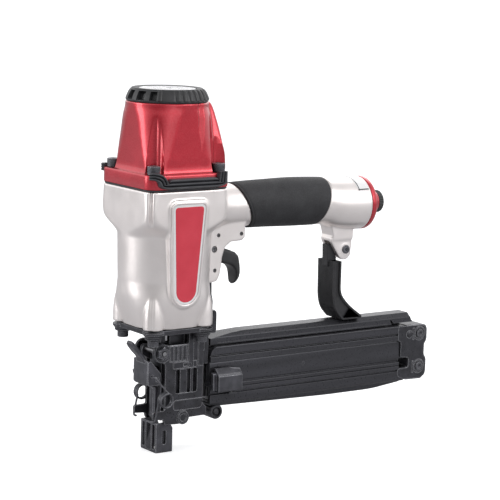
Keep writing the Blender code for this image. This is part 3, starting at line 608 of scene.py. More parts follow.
DISC = bright_metal("satin_disc", (0.80, 0.80, 0.81), (0.90, 0.90, 0.91), 0.18, 0.30, (1, 1, 1))

STAPLES = staple_strip()
BRASS = bright_metal("turned_brass", (0.70, 0.52, 0.22), (0.80, 0.62, 0.30), 0.20, 0.34)

SLOT_LOOKS = {
    "silver_casting": SILVER, "red_casting": RED, "badge_red": BADGE_RED, "rubber": PAD_RUBBER,
    "black_plastic": PLASTIC, "white_label": WHITE, "disc_silver": DISC, "brass": BRASS,
    "bare_steel": STEEL_BARE, "zinc_screw": SCREW_BLACK, "black_steel": STEEL_BLACK}


def paint_frame():
    """Give every CAD node the procedural finish of its own material slot."""
    for part in frame["record"]["subparts"]:
        node = frame["nodes"][part["node"]]
        node.data.materials.clear()
        node.data.materials.append(SLOT_LOOKS[part["material_slot"]])


# ------------------------------------------------------------------ cylinder body

HEAD_SCREW = middle("head_screw_1").x * -1
NOSE_SCREW = middle("nose_screw_1").x * -1
BODY_HALF = span("cylinder_head")[1].x
CORNERS = [math.pi / 4 + quarter * math.pi / 2 for quarter in range(4)]


BOSS_RADIUS = 7.5
BOSS_RISE = 24
GROOVE_DEPTH = 3.3
GROOVE_TURN = 0.024


def body_radius(turn, height, base):
    """Outer surface of the cylinder casting: round waist, square shoulders, corner bosses."""
    rise = height - base
    half = flow(rise, [0, 7, 22, 33, 66, 77.7, 99.3],
                [26.6, 28.6, 32.2, 32.8, 33.6, BODY_HALF, BODY_HALF])
    corner = flow(rise, [0, 12, 30, 66, 69, 76, 79, 99.3], [20, 23, 31.8, 33.4, 28, 11, 8, 8])
    radius = square_radius(turn, half, np.minimum(corner, half))
    boss_r = BOSS_RADIUS * math.sqrt(max(0.0, 1 - max(0.0, (rise - 6) / BOSS_RISE) ** 2))
    reach = NOSE_SCREW * math.sqrt(2)
    for corner_turn in CORNERS:
        off = angle_from(turn, corner_turn)
        side = reach * np.sin(off)
        if boss_r > 0.3:
            wall = np.sqrt(np.maximum(boss_r ** 2 - side ** 2, 0)) + reach * np.cos(off)
            crease = 0.9 * np.exp(-(side / 0.9) ** 2)
            wall = np.where(np.abs(side) < boss_r, wall - crease, 0)
            radius = np.where(wall > 0, smooth_max(radius, wall, 0.5), radius)
        radius = radius - GROOVE_DEPTH * fade(rise, 73, 79) * np.exp(-(off / GROOVE_TURN) ** 2)
    return radius


def body_shell():
    low, high = span("body_housing")
    turns = np.arange(360) * TAU / 360
    rows = [circle_row(turns, body_radius(turns, low.z, low.z) - 0.4, low.z)]
    for level in np.linspace(low.z + 0.15, high.z - 0.15, 131):
        rows.append(circle_row(turns, body_radius(turns, level, low.z), level))
    rows.append(circle_row(turns, body_radius(turns, high.z, low.z) - 0.4, high.z))
    return skin("body_shell", rows)


def circle_row(turns, radii, height):
    """A level ring about the drive axis; radii may be one number or one for each direction."""
    return np.stack([radii * np.cos(turns), radii * np.sin(turns), np.full(len(turns), height)], -1)


GRIP_LOW, GRIP_HIGH = span("handle_grip")


def grip_front(turn):
    """The rubber's front edge leans: it starts further forward on top of the handle."""
    return GRIP_LOW.x + 4.8 - 7.0 * np.sin(turn)


def grip_rear(turn):
    return GRIP_HIGH.x - 2.2 + 4.4 * np.sin(turn)


def handle_row(turns, where, knots, mids, halves_y, halves_z):
    """A ring round the handle; where may differ with the direction."""
    where = np.broadcast_to(np.asarray(where, float), turns.shape)
    half_y = flow(where, knots, halves_y)
    half_z = flow(where, knots, halves_z)
    mid = flow(where, knots, mids)
    return np.stack([where, half_y * np.cos(turns), mid + half_z * np.sin(turns)], -1)


def handle_casting():
    turns = np.arange(160) * TAU / 160
    root = ([15, 34, 44, 57, 75], [174.4, 174.4, 175.2, 175.4, 175.3], [22, 20.2, 17.0, 16.0, 16.3],
            [17.6, 17.5, 16.3, 15.9, 16.2])
    front = grip_front(turns)
    rows = [handle_row(turns, 16 + (front - 16) * t, *root) for t in np.linspace(0, 1, 60)]
    pieces = [skin("handle_root", rows)]
    waist = ([40, 98, 150], [175.4, 175.3, 174], [13.6, 15.0, 15.2], [13.6, 15.0, 15.2])
    pieces.append(skin("handle_waist", [handle_row(turns, x, *waist) for x in np.linspace(45, 146, 40)]))
    end = span("handle_end_cap")[0].x
    bulb = ([128, 137, 148, 160, end], [174.6, 174.2, 172.2, 171.4, 171.2],
            [17.2, 17.7, 19.3, 20.0, 20.25], [17.4, 17.8, 19.3, 20.0, 20.25])
    rear = grip_rear(turns)
    rows = [handle_row(turns, rear + (end - rear) * t, *bulb) for t in np.linspace(0, 1, 60)]
    pieces.append(skin("handle_bulb", rows))
    return pieces


def badge_plane(height):
    """How far from the middle the badge's face stands at a height: it leans in towards the foot."""
    top = span("badge_left")[1].z
    return 35.9 - 0.042 * (top - height)


def badge_outline(grow=0.0):
    """Shield about the badge's centre line, wider at the top and round at the foot."""
    low, high = span("badge_left")
    mid_x = (low.x + high.x) / 2
    top = high.z + grow
    half_top = 13.3 + grow
    half_low = 9.6 + grow
    foot = low.z + 9.8
    points = [(mid_x + half_low * math.cos(t), foot + (9.8 + grow) * math.sin(t))
              for t in [math.pi * (1 + i / 20) for i in range(21)]]
    corner = rounded([(mid_x + half_low, foot), (mid_x + half_top, top), (mid_x - half_top, top),
                      (mid_x - half_low, foot)], 4.0 + grow, closed=False, steps=8)
    return points + corner[1:-1]


def lean(obj, sign):
    """Shear a plate drawn about Y = 0 so that its face follows the badge's plane."""
    for vert in obj.data.vertices:
        vert.co.y = sign * (badge_plane(vert.co.z) + vert.co.y)
    clean(obj.data)
    return obj


def badge_mounts():
    """The raised silver panels that carry the badges."""
    return [lean(slab("badge_panel", [badge_outline(3.4)], -3.5, 5.8, bevel=0), sign) for sign in SIGNS]


def badge_rims():
    """The crisp raised lip round each badge."""
    loops = [badge_outline(2.3), badge_outline(0.5)]
    return [soften(lean(slab("badge_rim", loops, -0.35, 1.7, bevel=0), sign), 0.5, 3) for sign in SIGNS]


def web_and_hanger():
    """The trigger's web under the handle, and the hanger that holds the stay."""
    low = span("link_guide_pin")[0].z - 7.0
    web = slab("trigger_web", [[
        (26, low), (33, low - 0.7), (38.6, low + 0.2), (40.8, 126.5), (41.9, 132.7), (42.6, 139),
        (44.8, 146.4), (50, 150.2), (59.6, 150.6), (62.2, 153), (62.2, 160), (64, 170), (26, 170)]],
        0, 23.4, bevel=0)
    upper = slab("hanger_upper", [[(143.4, 157), (147.0, 144.4), (164.4, 144.4), (165.4, 157)]],
                 0, 15.2, bevel=0)
    outline = rounded([(144.6, 147), (144.9, 143.4), (152.8, 130.6), (156, 128.9), (160.5, 129.4),
                       (163.4, 132.6), (164.2, 147)], 1.6)
    lower = slab("hanger_lower", [outline], 0, 13.8, bevel=0)
    boss = lathe("hanger_boss", [(4.6, -7.2), (4.6, 7.2)], across("stay_bolt"), "Y")
    return [web, upper, lower, boss]


def body_cutters():
    """Cylinder bore, trigger slot, pin holes, valve seat and the slot for the stay."""
    low, high = span("body_housing")
    bore = span("cylinder_sleeve")[1].x + 0.3
    valve = middle("trigger_valve_body")
    cutters = [
        slab("slot", [[(33.6, 118), (72, 118), (72, 149), (33.6, 149)]], 0, 14.8, bevel=0),
        lathe("pocket", [(5.0, -7.4), (5.0, 7.4)], across("trigger_pin"), "Y"),
        lathe("pivot_hole", [(2.4, -16), (2.4, 16)], across("trigger_pin"), "Y"),
        lathe("seat", [(7.15, -10), (7.15, 11.5)], (valve.x, 0, 158)),
        lathe("bore", [(bore, low.z + 2.7), (bore, high.z + 2)], steps=128),
        lathe("floor_hole", [(9, low.z - 2), (9, low.z + 4)], steps=64),
        slab("stay_slot", [[(140, 125), (167, 125), (167, 143.8), (140, 143.8)]], 0, 7.0, bevel=0),
        lathe("stay_hole", [(2.5, -12), (2.5, 12)], across("stay_bolt"), "Y")]
    for node in ("valve_pin_front", "valve_pin_rear", "link_guide_pin"):
        cutters.append(lathe("pin_hole", [(1.5, -16), (1.5, 16)], across(node), "Y", 32))
    return cutters


def body_casting():
    shapes = [body_shell(), *handle_casting(), *badge_mounts(), *web_and_hanger()]
    rough = merge("look_body_housing", *shapes)
    cast(rough, 0.66, 4)
    cut(rough, *body_cutters())
    whole = merge("look_body_housing", rough, *badge_rims())
    settle(whole, SILVER, "tool_body", "silver_casting", "body_housing", sharp=50, flat_faces=False)


def badges():
    """Plain red shield with a white border; the real one's lettering is left out."""
    for side, sign in SIDES:
        border = slab(f"badge_border_{side}", [badge_outline(0.4)], -0.5, 1.0, bevel=0)
        centre = slab(f"badge_centre_{side}", [badge_outline(-1.3)], -0.45, 1.3, bevel=0)
        for obj in (border, centre):
            soften(lean(obj, sign), 0.22, 3)
        settle(border, WHITE, "tool_body", "white_label")
        settle(centre, BADGE_RED, "tool_body", "badge_red", f"badge_{side}")


# ------------------------------------------------------------------ cylinder head

def head_wall(turn, height, low, high):
    """Head above its flange: upright square skirt growing round, with a bulge at the rear."""
    levels = low + np.array([10, 13, 21, 36, 50, 55, 58.6])
    half = flow(height, levels, [29.9, 29.3, 29.1, 29.0, 29.0, 29.2, 29.4])
    corner = flow(height, levels, [9.5, 11, 14.5, 19.8, 24.4, 28, 29.4])
    barrel = square_radius(turn, half, np.minimum(corner, half))
    for side in (-1, 1):
        off = angle_from(turn, side * math.radians(69))
        width = 0.11 * float(fade(height, high - 38, high - 6))
        depth = 2.2 * float(fade(height, high - 38, high - 12))
        if width > 0.004:
            barrel = barrel - depth * np.clip(1 - np.abs(off) / width, 0, 1) ** 0.8
    bulge_levels = low + np.array([10, 20, 31, 46, 56, 58.6])
    reach = flow(height, bulge_levels, [33.9, 33.5, 32.8, 31.0, 28.5, 27.0])
    half_bulge = flow(height, bulge_levels, [27.5, 26.8, 23.2, 18.1, 15.3, 14.5])
    forward = np.maximum(np.cos(turn), 1e-3)
    aside = np.maximum(np.abs(np.sin(turn)), 1e-3)
    bulge = np.where(np.cos(turn) > 0, smooth_min(reach / forward, half_bulge / aside, 3.0), 0)
    return smooth_max(barrel, bulge, 1.0)


def screw_channels(turn, radius):
    """Let the four screws down through gothic-arched channels above the flange."""
    reach = HEAD_SCREW * math.sqrt(2)
    for corner_turn in CORNERS:
        off = angle_from(turn, corner_turn)
        side = reach * np.sin(off)
        toward_rear = (math.cos(corner_turn) > 0) & (side * math.sin(corner_turn) < 0)
        bore = np.where(toward_rear, 5.3, 7.3)
        inside = np.maximum(bore ** 2 - side ** 2, 0)
        channel = reach * np.cos(off) - np.sqrt(inside)
        channel = channel + 0.7 * np.exp(-((side - 1.6) / 0.8) ** 2)
        near = (np.abs(off) < 0.6) & (np.abs(side) < bore)
        radius = np.where(near, smooth_min(radius, np.where(near, channel, 99), 0.4), radius)
    return radius


def cylinder_head():
    low, high = span("cylinder_head")
    ledge = span("head_screw_1")[1].z - 6.3
    turns = np.arange(400) * TAU / 400
    chamber = 26.2

    def wall(height):
        return screw_channels(turns, head_wall(turns, height, low.z, high.z))

    rows = [circle_row(turns, chamber, low.z)]
    flange = square_radius(turns, BODY_HALF, 8.0)
    for drop, height in ((0.35, low.z), (0.08, low.z + 0.12), (0.0, low.z + 0.4), (0.0, ledge - 1.0),
                         (0.12, ledge - 0.45), (0.5, ledge - 0.1), (0.9, ledge)):
        rows.append(circle_row(turns, flange - drop, height))
    for rise, spread in ((0.0, 1.3), (0.12, 0.75), (0.5, 0.25), (1.2, 0.0)):
        radius = np.minimum(wall(ledge + rise) + spread, flange - 0.95)
        rows.append(circle_row(turns, radius, ledge + rise))
    for height in np.linspace(ledge + 1.8, high.z - 0.7, 64):
        rows.append(circle_row(turns, wall(height), height))
    for drop, height in ((0.12, high.z - 0.3), (0.45, high.z)):
        rows.append(circle_row(turns, wall(high.z) - drop, height))
    for radius, drop in ((2.6, 0), (2.6, 6.6), (12.0, 6.6), (12.0, 10.6), (chamber - 2, 10.6),
                         (chamber, 14.0)):
        rows.append(circle_row(turns, radius, high.z - drop))
    head = skin("look_cylinder_head", rows, "joined")
    settle(head, RED, "tool_body", "red_casting", "cylinder_head", sharp=48, flat_faces=False)


def hexagon(radius):
    """Ring radius of a hexagon, for sockets and nuts."""
    def shape(turns, ring, height):
        sector = (turns % (math.pi / 3)) - math.pi / 6
        return np.where(ring == radius, radius * math.cos(math.pi / 6) / np.cos(sector), ring)
    return shape


def socket_screw(name, centre, head_r, head_h, shank_r, length, down=False):
    """Socket-head cap screw with a knurled rim, chamfered lip and hexagon socket."""
    key = head_r * 0.5
    knurl_low = head_h * 0.18
    knurl_high = head_h * 0.86
    profile = [(key * 0.4, head_h * 0.42), (key, head_h * 0.5), (key, head_h - 0.35), (key + 0.35, head_h),
               (head_r - 0.55, head_h), (head_r - 0.15, head_h - 0.2), (head_r, head_h - 0.6),
               (head_r, head_h * 0.5), (head_r, 0.35), (head_r - 0.3, 0.0), (shank_r, 0.0),
               (shank_r, -length + 0.6), (shank_r - 0.6, -length)]

    def shape(turns, ring, height):
        ring = hexagon(key)(turns, ring, height)
        ridges = np.abs(np.sin(turns * 18)) * 0.16
        on_rim = (ring > head_r - 0.05) & (knurl_low < height) & (height < knurl_high + 1)
        return np.where(on_rim, ring - ridges, ring)

    screw = lathe(name, profile, steps=144, shape=shape)
    if down:
        screw.data.transform(Matrix.Rotation(math.pi, 4, "X"))
    screw.data.transform(Matrix.Translation(centre))
    return screw


def case_screws():
    for number in range(1, 5):
        node = f"head_screw_{number}"
        place = middle(node)
        place.z = span(node)[1].z - 6.0
        screw = socket_screw(f"look_{node}", place, 4.5, 6.0, 2.5, 28)
        settle(screw, SCREW_BLACK, "tool_body", "zinc_screw", node, sharp=40)
        node = f"nose_screw_{number}"
        place = middle(node)
        place.z = span(node)[0].z + 4.4
        screw = socket_screw(f"look_{node}", place, 4.0, 4.4, 2.4, 25, down=True)
        settle(screw, SCREW_BLACK, "tool_body", "black_steel", node, sharp=40)


def flange_point(along, out, corner=8.0):
    """Place on the flange's outline: along is measured from the middle of the left side."""
    straight = BODY_HALF - corner
    beyond = abs(along) - straight
    turn = min(max(beyond, 0.0) / corner, math.pi / 2)
    rest = max(beyond - corner * math.pi / 2, 0.0)
    x = min(abs(along), straight) + (corner + out) * math.sin(turn)
    y = straight + (corner + out) * math.cos(turn) - rest
    return math.copysign(x, along), -y


def pad_path(reach, top):
    """Outer line of the pad from front to rear: along, height, inward direction, width, thickness."""
    bend = 9.6
    foot = top - 9.2
    knee = top - 5.6
    path = []
    for t in np.linspace(0, 1, 4):
        path.append((-reach - 5.4 + 2.2 * t, knee + 3.2, (0.0, 1.0), 5.0 + 0.6 * t, 0.5 + 0.25 * t))
    for t in np.linspace(math.pi / 2, 0, 12)[1:]:
        level, up = math.cos(t), math.sin(t)
        path.append((-reach - 3.2 + 3.2 * level, knee + 3.2 * up, (level, up), 7.6 - 2.0 * up,
                     0.75 + 0.25 * level))
    for t in np.linspace(0, math.pi / 2, 14)[1:]:
        level, up = math.cos(t), math.sin(t)
        path.append((-reach + bend * (1 - level), knee - (knee - foot) * up, (level, up), 7.6, 1.0))
    for t in np.linspace(0, 1, 14)[1:]:
        path.append((-reach + bend + 2 * (reach - bend) * t, foot, (0.0, 1.0), 7.6, 1.0))
    for t in np.linspace(0, math.pi / 2, 14)[1:]:
        level, up = math.sin(t), math.cos(t)
        path.append((reach - bend * (1 - level), foot + (knee - foot) * (1 - up), (-level, up), 7.6, 1.0))
    for t in np.linspace(0, 1, 5)[1:]:
        path.append((reach, knee + 7.6 * t, (-1.0, 0.0), 7.6 - 1.2 * t, 1.0))
    return path


PAD_INNER = 0.12


def pad_ring(sign, reach_out, along, height, inward, width, thick):
    """Section of a pad: three ribs across its width, then a flat back against the flange."""
    shares = [*np.linspace(0, 1, 44), 1.0, 0.0]
    ring = []
    for number, share in enumerate(shares):
        swell = abs(math.sin(share * 3 * math.pi)) ** 0.45
        edge = float(fade(share, 0.0, 0.05) * fade(share, 1.0, 0.95))
        out = PAD_INNER + reach_out * thick * (0.36 + 0.64 * swell) * edge
        if number >= len(shares) - 2:
            out = PAD_INNER - 0.08
        x, y = flange_point(along + inward[0] * width * share, out)
        ring.append((x, -sign * y, height + inward[1] * width * share))
    return ring


def side_pads():
    """Bumper on each side of the flange: three nested ribs whose ends hook up round the screws."""
    for side, sign in SIDES:
        low, high = span(f"side_pad_{side}")
        reach_out = max(abs(low.y), abs(high.y)) - BODY_HALF - PAD_INNER
        path = pad_path((high.x - low.x) / 2 - 0.2, high.z + 0.4)
        pad = skin(f"look_side_pad_{side}", [pad_ring(sign, reach_out, *place) for place in path])
        settle(pad, PAD_RUBBER, "tool_body", "rubber", f"side_pad_{side}", sharp=60, flat_faces=False)


# ------------------------------------------------------------------ deflector

SLOTS = [(math.radians(turn), width) for turn, width in (
    (104, 0.128), (127, 0.128), (150, 0.128), (173, 0.128), (197, 0.128), (217.5, 0.092))]
RIB_TURNS = [math.radians(254 + 10.5 * i) for i in range(13)]


def exhaust_deflector():
    """Sloped rim with broad exhaust slots on one side and fine ribs on the other."""
    low, high = span("exhaust_deflector")
    count = 900
    turns = np.arange(count) * TAU / count
    levels = [low.z, *np.linspace(low.z + 0.5, high.z - 0.9, 34), high.z - 0.5, high.z - 0.15, high.z]
    rows = [circle_row(turns, 3.0, low.z)]
    for level in levels:
        share = (level - low.z) / (high.z - low.z)
        slope = flow(share, [0, 0.12, 0.3, 0.85, 1.0], [28.9, 29.4, 29.0, 26.4, 25.0])
        radius = np.full(count, float(slope))
        open_z = float(fade(share, 0.17, 0.21) * fade(share, 0.84, 0.80))
        for centre, width in SLOTS:
            off = np.abs(angle_from(turns, centre))
            radius -= 4.2 * open_z * (1 - fade(off, width - 0.008, width))
        rib_z = float(fade(share, 0.10, 0.2) * fade(share, 0.98, 0.9))
        ribbed = np.abs(angle_from(turns, (RIB_TURNS[0] + RIB_TURNS[-1]) / 2))
        radius -= 0.6 * rib_z * (1 - fade(ribbed, 1.16, 1.22))
        for centre in RIB_TURNS:
            off = np.abs(angle_from(turns, centre))
            radius += 1.0 * rib_z * np.sqrt(np.clip(1 - (off / 0.062) ** 2, 0, 1))
        light_rib = np.abs(angle_from(turns, math.radians(227)))
        radius += 0.8 * rib_z * (1 - fade(light_rib, 0.03, 0.06))
        rows.append(circle_row(turns, radius, level))
    for radius, drop in ((23.6, 0), (20.9, 0.15), (20.6, 0.5), (20.6, 3.5), (6.0, 3.5), (3.0, 6.0)):
        rows.append(circle_row(turns, radius, high.z - drop))
    cap = skin("look_exhaust_deflector", rows, "joined")
    settle(cap, PLASTIC, "deflector", "black_plastic", "exhaust_deflector", sharp=38, flat_faces=False)


def deflector_disc():
    low, high = span("deflector_disc")
    edge = high.x
    top = high.z
    profile = [(edge - 0.6, low.z), (edge, low.z + 0.25), (edge, top - 0.4), (edge - 0.35, top - 0.05),
               (edge - 0.9, top), (edge - 2.2, top), (edge - 2.5, top - 0.35), (edge - 3.1, top - 0.35),
               (edge - 3.4, top), (11.5, top), (11.1, top - 0.3), (10.3, top - 0.3), (9.9, top),
               (4.2, top), (3.6, top - 0.4), (0.4, top - 0.4)]
    disc = lathe("look_deflector_disc", profile, steps=128)
    settle(disc, DISC, "deflector", "disc_silver", "deflector_disc", sharp=40)


# ------------------------------------------------------------------ handle

def handle_grip():
    turns = np.arange(128) * TAU / 128
    knots = [52, 60, 85, 109, 130, 142]
    mids = [175.3, 175.3, 175.4, 175.2, 174.7, 174.3]
    outer_y = [16.3, 16.9, 17.4, 17.9, 17.95, 17.6]
    outer_z = [16.4, 17.0, 17.6, 18.15, 17.95, 17.7]
    inner = [15.0, 15.1, 15.2, 15.6, 15.5, 15.5]
    front = grip_front(turns) + 0.25
    rear = grip_rear(turns) - 0.25
    rows = []

    def ring(t, drop, sizes=(outer_y, outer_z)):
        row = handle_row(turns, front + (rear - front) * t, knots, mids, *sizes)
        centre = np.stack([row[:, 0], np.zeros(len(turns)), flow(row[:, 0], knots, mids)], -1)
        away = row - centre
        length = np.linalg.norm(away, axis=1, keepdims=True)
        return centre + away * (length - drop) / length

    rows.append(ring(0, 0, (inner, inner)))
    for t, drop in ((0, 0.75), (0.002, 0.35), (0.006, 0.0), (0.016, 0.0), (0.020, 0.30), (0.026, 0.32),
                    (0.032, 0.05)):
        rows.append(ring(t, drop))
    for t in np.linspace(0.05, 0.975, 70):
        rows.append(ring(t, 0.0))
    for t, drop in ((0.99, 0.08), (0.997, 0.35), (1.0, 0.9)):
        rows.append(ring(t, drop))
    rows.append(ring(1, 0, (inner, inner)))
    grip = skin("look_handle_grip", rows, "joined")
    settle(grip, RUBBER, "tool_body", "rubber", "handle_grip", sharp=70, flat_faces=False)


def handle_end():
    low, high = span("handle_end_cap")
    centre = (0, 0, (low.z + high.z) / 2)
    start = low.x
    end = high.x
    profile = [(6.5, start), (19.8, start), (20.15, start + 0.25), (20.2, start + 0.7), (20.2, start + 3.0),
               (19.9, start + 3.8), (19.0, start + 4.8), (17.0, start + 6.2), (13.5, start + 8.2),
               (11.0, start + 9.6), (9.7, start + 10.8), (9.1, start + 12.2), (8.9, end - 0.5), (8.5, end),
               (6.5, end)]
    cap = lathe("look_handle_end_cap", profile, centre, "X", 128, "joined")
    settle(cap, RED, "tool_body", "red_casting", "handle_end_cap", sharp=50, flat_faces=False)
    low, high = span("air_inlet_plug")
    start = end + 0.3
    profile = [(6.1, low.x), (6.1, start), (8.3, start), (8.6, start + 0.3), (8.6, start + 1.0),
               (8.6, high.x - 1.3), (8.3, high.x - 0.5), (7.7, high.x), (3.4, high.x), (3.2, high.x - 0.3),
               (3.2, high.x - 1.2), (0.6, high.x - 1.2)]

    def knurl(turns, ring, height):
        on_rim = (ring > 8.55) & (height > start + 0.4)
        return np.where(on_rim, ring - 0.45 * np.abs(np.cos(turns * 14)) ** 3, ring)

    plug = lathe("look_air_inlet_plug", profile, centre, "X", 224, shape=knurl)
    settle(plug, PLASTIC, "tool_body", "black_plastic", "air_inlet_plug", sharp=45)


def rating_label():
    """Plain white label with a black border, wrapped over the rear end; its text is left out."""
    low, high = span("rating_label")
    mid_z = middle("handle_end_cap").z
    start = math.radians(66)
    end = math.radians(146)
    along = np.linspace(low.x + 0.2, high.x - 0.6, 25)
    around = np.linspace(start, end, 61)
    points = []
    for lift in (0.40, 0.05):
        for x in along:
            radius = flow(x, [148, 160, 172.3], [19.4, 20.0, 20.25]) + lift
            points += [(x, radius * math.cos(t), mid_z + radius * math.sin(t)) for t in around]
    count = len(around)
    layer = len(along) * count
    faces = []
    border = []
    for i in range(len(along) - 1):
        for j in range(count - 1):
            a = i * count + j
            faces.append((a, a + 1, a + count + 1, a + count))
            border.append(i in (1, 2) or j in (1, 2, count - 3, count - 4))
    rim = [i * count for i in range(len(along))]
    rim += [(len(along) - 1) * count + j for j in range(1, count)]
    rim += [i * count + count - 1 for i in range(len(along) - 2, -1, -1)]
    rim += list(range(count - 2, 0, -1))
    for a, b in zip(rim, rim[1:] + rim[:1]):
        faces.append((a, b, b + layer, a + layer))
    mesh = bpy.data.meshes.new("look_rating_label")
    mesh.from_pydata(points, [], faces)
    label = link("look_rating_label", mesh)
    mesh.materials.append(WHITE)
    mesh.materials.append(BLACK_LINE)
    for index, black in enumerate(border):
        mesh.polygons[index].material_index = int(black)
    settle(label, WHITE, "tool_body", "white_label", "rating_label", flat_faces=False)


# ------------------------------------------------------------------ trigger group

def trigger():
    """Hooked trigger, hollow for the trip lever and the safety's tongue."""
    stations = [
        ((36.0, 148.9), (33.4, 141.8), 6.6), ((40.0, 148.4), (37.6, 139.4), 6.9),
        ((44.0, 146.9), (42.4, 136.0), 7.0), ((48.4, 145.0), (46.2, 134.0), 7.0),
        ((53.0, 143.5), (50.4, 133.0), 7.0), ((58.0, 141.5), (54.2, 131.7), 7.0),
        ((60.7, 138.8), (56.3, 130.3), 7.0), ((61.6, 134.5), (57.9, 128.6), 7.0),
        ((62.2, 130.4), (58.9, 126.6), 6.9), ((62.5, 126.6), (59.3, 124.3), 6.6),
        ((62.3, 123.4), (59.2, 121.9), 6.0), ((61.5, 120.6), (58.9, 119.8), 4.9),
        ((60.4, 118.6), (58.6, 118.3), 3.4), ((59.6, 117.4), (58.9, 117.3), 1.2)]
    hook = hook_loft("look_trigger", stations, 5.0, 48)
    well = slab("trip_well", [[(30, 136.9), (60.2, 136.9), (60.2, 143.4), (62, 158), (30, 158)]], 0, 9.6,
                bevel=0)
    room = slab("link_room", [[(29, 125), (41.8, 125), (41.8, 158), (29, 158)]], 0, 9.8, bevel=0)
    hole = lathe("ear_hole", [(2.3, -9), (2.3, 9)], across("trigger_pin"), "Y", 32)
    cut(hook, well, room, hole)
    settle(hook, PLASTIC, "trigger", "black_plastic", "trigger", sharp=45, flat_faces=False)


def trip_lever():
    low, high = span("trip_lever")
    outline = rounded([(38.8, 142.5), (47, 141.8), (55.8, 137.7), (58.4, 137.5), (59.6, 139.2),
                       (58.4, 141), (48, 144.1), (38.8, 144)], 1.2)
    lever = slab("lever", [outline], 0, 5, bevel=0.5)
    x, z = joint_place("trip_lift")
    pin = lathe("trunnion", [(0.7, low.y), (1.0, low.y + 0.3), (1.0, high.y - 0.3), (0.7, high.y)],
                (x, 0, z), "Y", 32)
    settle(merge("look_trip_lever", lever, pin), STEEL_BARE, "trip_lever", "bare_steel", "trip_lever")


def cross_pins():
    """Pins through the trigger cheeks; the pivot is hollow-ended."""
    for node in ("valve_pin_front", "valve_pin_rear", "link_guide_pin", "trigger_pin"):
        low, high = span(node)
        radius = (high.x - low.x) / 2 + 0.02
        end = high.y - 0.9
        hollow = radius * (0.55 if node == "trigger_pin" else 0.35)
        right = [(radius, end - 0.4), (radius - 0.35, end), (hollow + 0.15, end), (hollow, end - 0.2),
                 (hollow, end - 1.2), (hollow * 0.5, end - 1.4)]
        left = [(r, -y) for r, y in reversed(right)]
        pin = lathe(f"look_{node}", left + right, across(node), "Y", 48)
        look = SCREW_GREY if node == "trigger_pin" else SCREW_BLACK
        settle(pin, look, "tool_body", "black_steel", node)


# ------------------------------------------------------------------ nose

def nose_flange():
    """Flange under the body with thick corners and arched edges between them."""
    high = span("nose_frame")[1]
    edge = 26.0
    square = rounded([(edge, edge), (-edge, edge), (-edge, -edge), (edge, -edge)], 9, steps=8)
    plate = slab("flange", [square], high.z - 1.9, 3.8, "Z", 0.7, 3)
    spring = middle("safety_spring")
    pocket = [(2.2, high.z - 8), (2.2, high.z + 4)]
    cut(plate, lathe("spring_pocket", pocket, (spring.x, spring.y, 0), steps=32))
    pieces = [plate]
    for turn in CORNERS:
        x = NOSE_SCREW * math.copysign(1, math.cos(turn))
        y = NOSE_SCREW * math.copysign(1, math.sin(turn))
        profile = [(3.0, high.z - 7), (5.2, high.z - 7), (5.9, high.z - 6.4), (6.1, high.z - 4.6),
                   (7.6, high.z - 3.0), (7.6, high.z - 1.5)]
        pieces.append(lathe("flange_boss", profile, (x, y, 0), steps=48))
    return pieces


def nose_cheeks():
    """Side plates with a window, a ribbed block, columns and a lower panel."""
    pieces = []
    hinge = middle("door_hinge_bolt")
    outline = rounded([
        (-13.2, 79), (-13.2, 70), (-5.4, 65.5), (-5.0, 31.8), (-15.2, 31.5), (-15.2, 25.8), (-6.0, 25.2),
        (-5.2, 21.2), (4.2, 20.6), (14.6, 20.6), (14.6, 24.6), (30.5, 24.8), (30.5, 31), (27, 34), (27, 87),
        (14, 87), (14, 79)], 1.4, steps=3)
    window = box_outline(3.6, 43.2, 21.8, 60.6, 1.6)
    low_panel = rounded([(2.2, 31), (26, 31), (27.6, 38.2), (2.2, 38.2)], 2.4)
    block = [box_outline(1.2, 61.6, 21.0, 66.2, 0.8), box_outline(9.6, 62.6, 16.4, 65.2, 0.8)]
    plates = [
        ([outline, window], 12.5, 2.4, 0.45), ([low_panel], 13.5, 1.2, 0.5),
        ([box_outline(-2.2, 66.8, 13.2, 78.6, 1.0)], 12.9, 2.6, 0.4), (block, 13.4, 1.6, 0.35)]
    plates += [([box_outline(-1.6 + 3.6 * i, 67.4, 0.8 + 3.6 * i, 78.2, 0.4)], 14.05, 0.7, 0.25)
               for i in range(4)]
    plates += [([box_outline(x, 43.0, x + w, 60.8, 0.5)], 12.1, 1.6, 0.35)
               for x, w in ((7.6, 6.2), (16.6, 2.4))]
    columns = [(14.0, 61.5, 18.2, 2.6), (22.4, 62.0, 26.8, 2.4)]
    lug = [(3.0, 11.3), (7.2, 11.3), (7.2, 13.2), (6.6, 13.9), (5.2, 13.9), (4.8, 13.5), (3.0, 13.5)]
    boss = [(0.6, 12.0), (5.0, 12.0), (5.0, 14.6), (4.5, 15.1), (3.0, 15.1), (2.6, 14.4), (0.6, 14.4)]
    for sign in SIGNS:
        pieces += [slab("plate", loops, sign * y, depth, bevel=bevel) for loops, y, depth, bevel in plates]
        pieces += [slab("column", [box_outline(front, foot, rear, 90, 0.8)], sign * 13.1, depth, bevel=0.6,
                        segments=3) for front, foot, rear, depth in columns]
        pieces.append(sided(lathe("lug", lug, (hinge.x + 0.6, 0, hinge.z - 0.4), "Y", 48), sign))
        pieces.append(sided(lathe("boss", boss, (10, 0, 25.2), "Y", 48), sign))
    return pieces


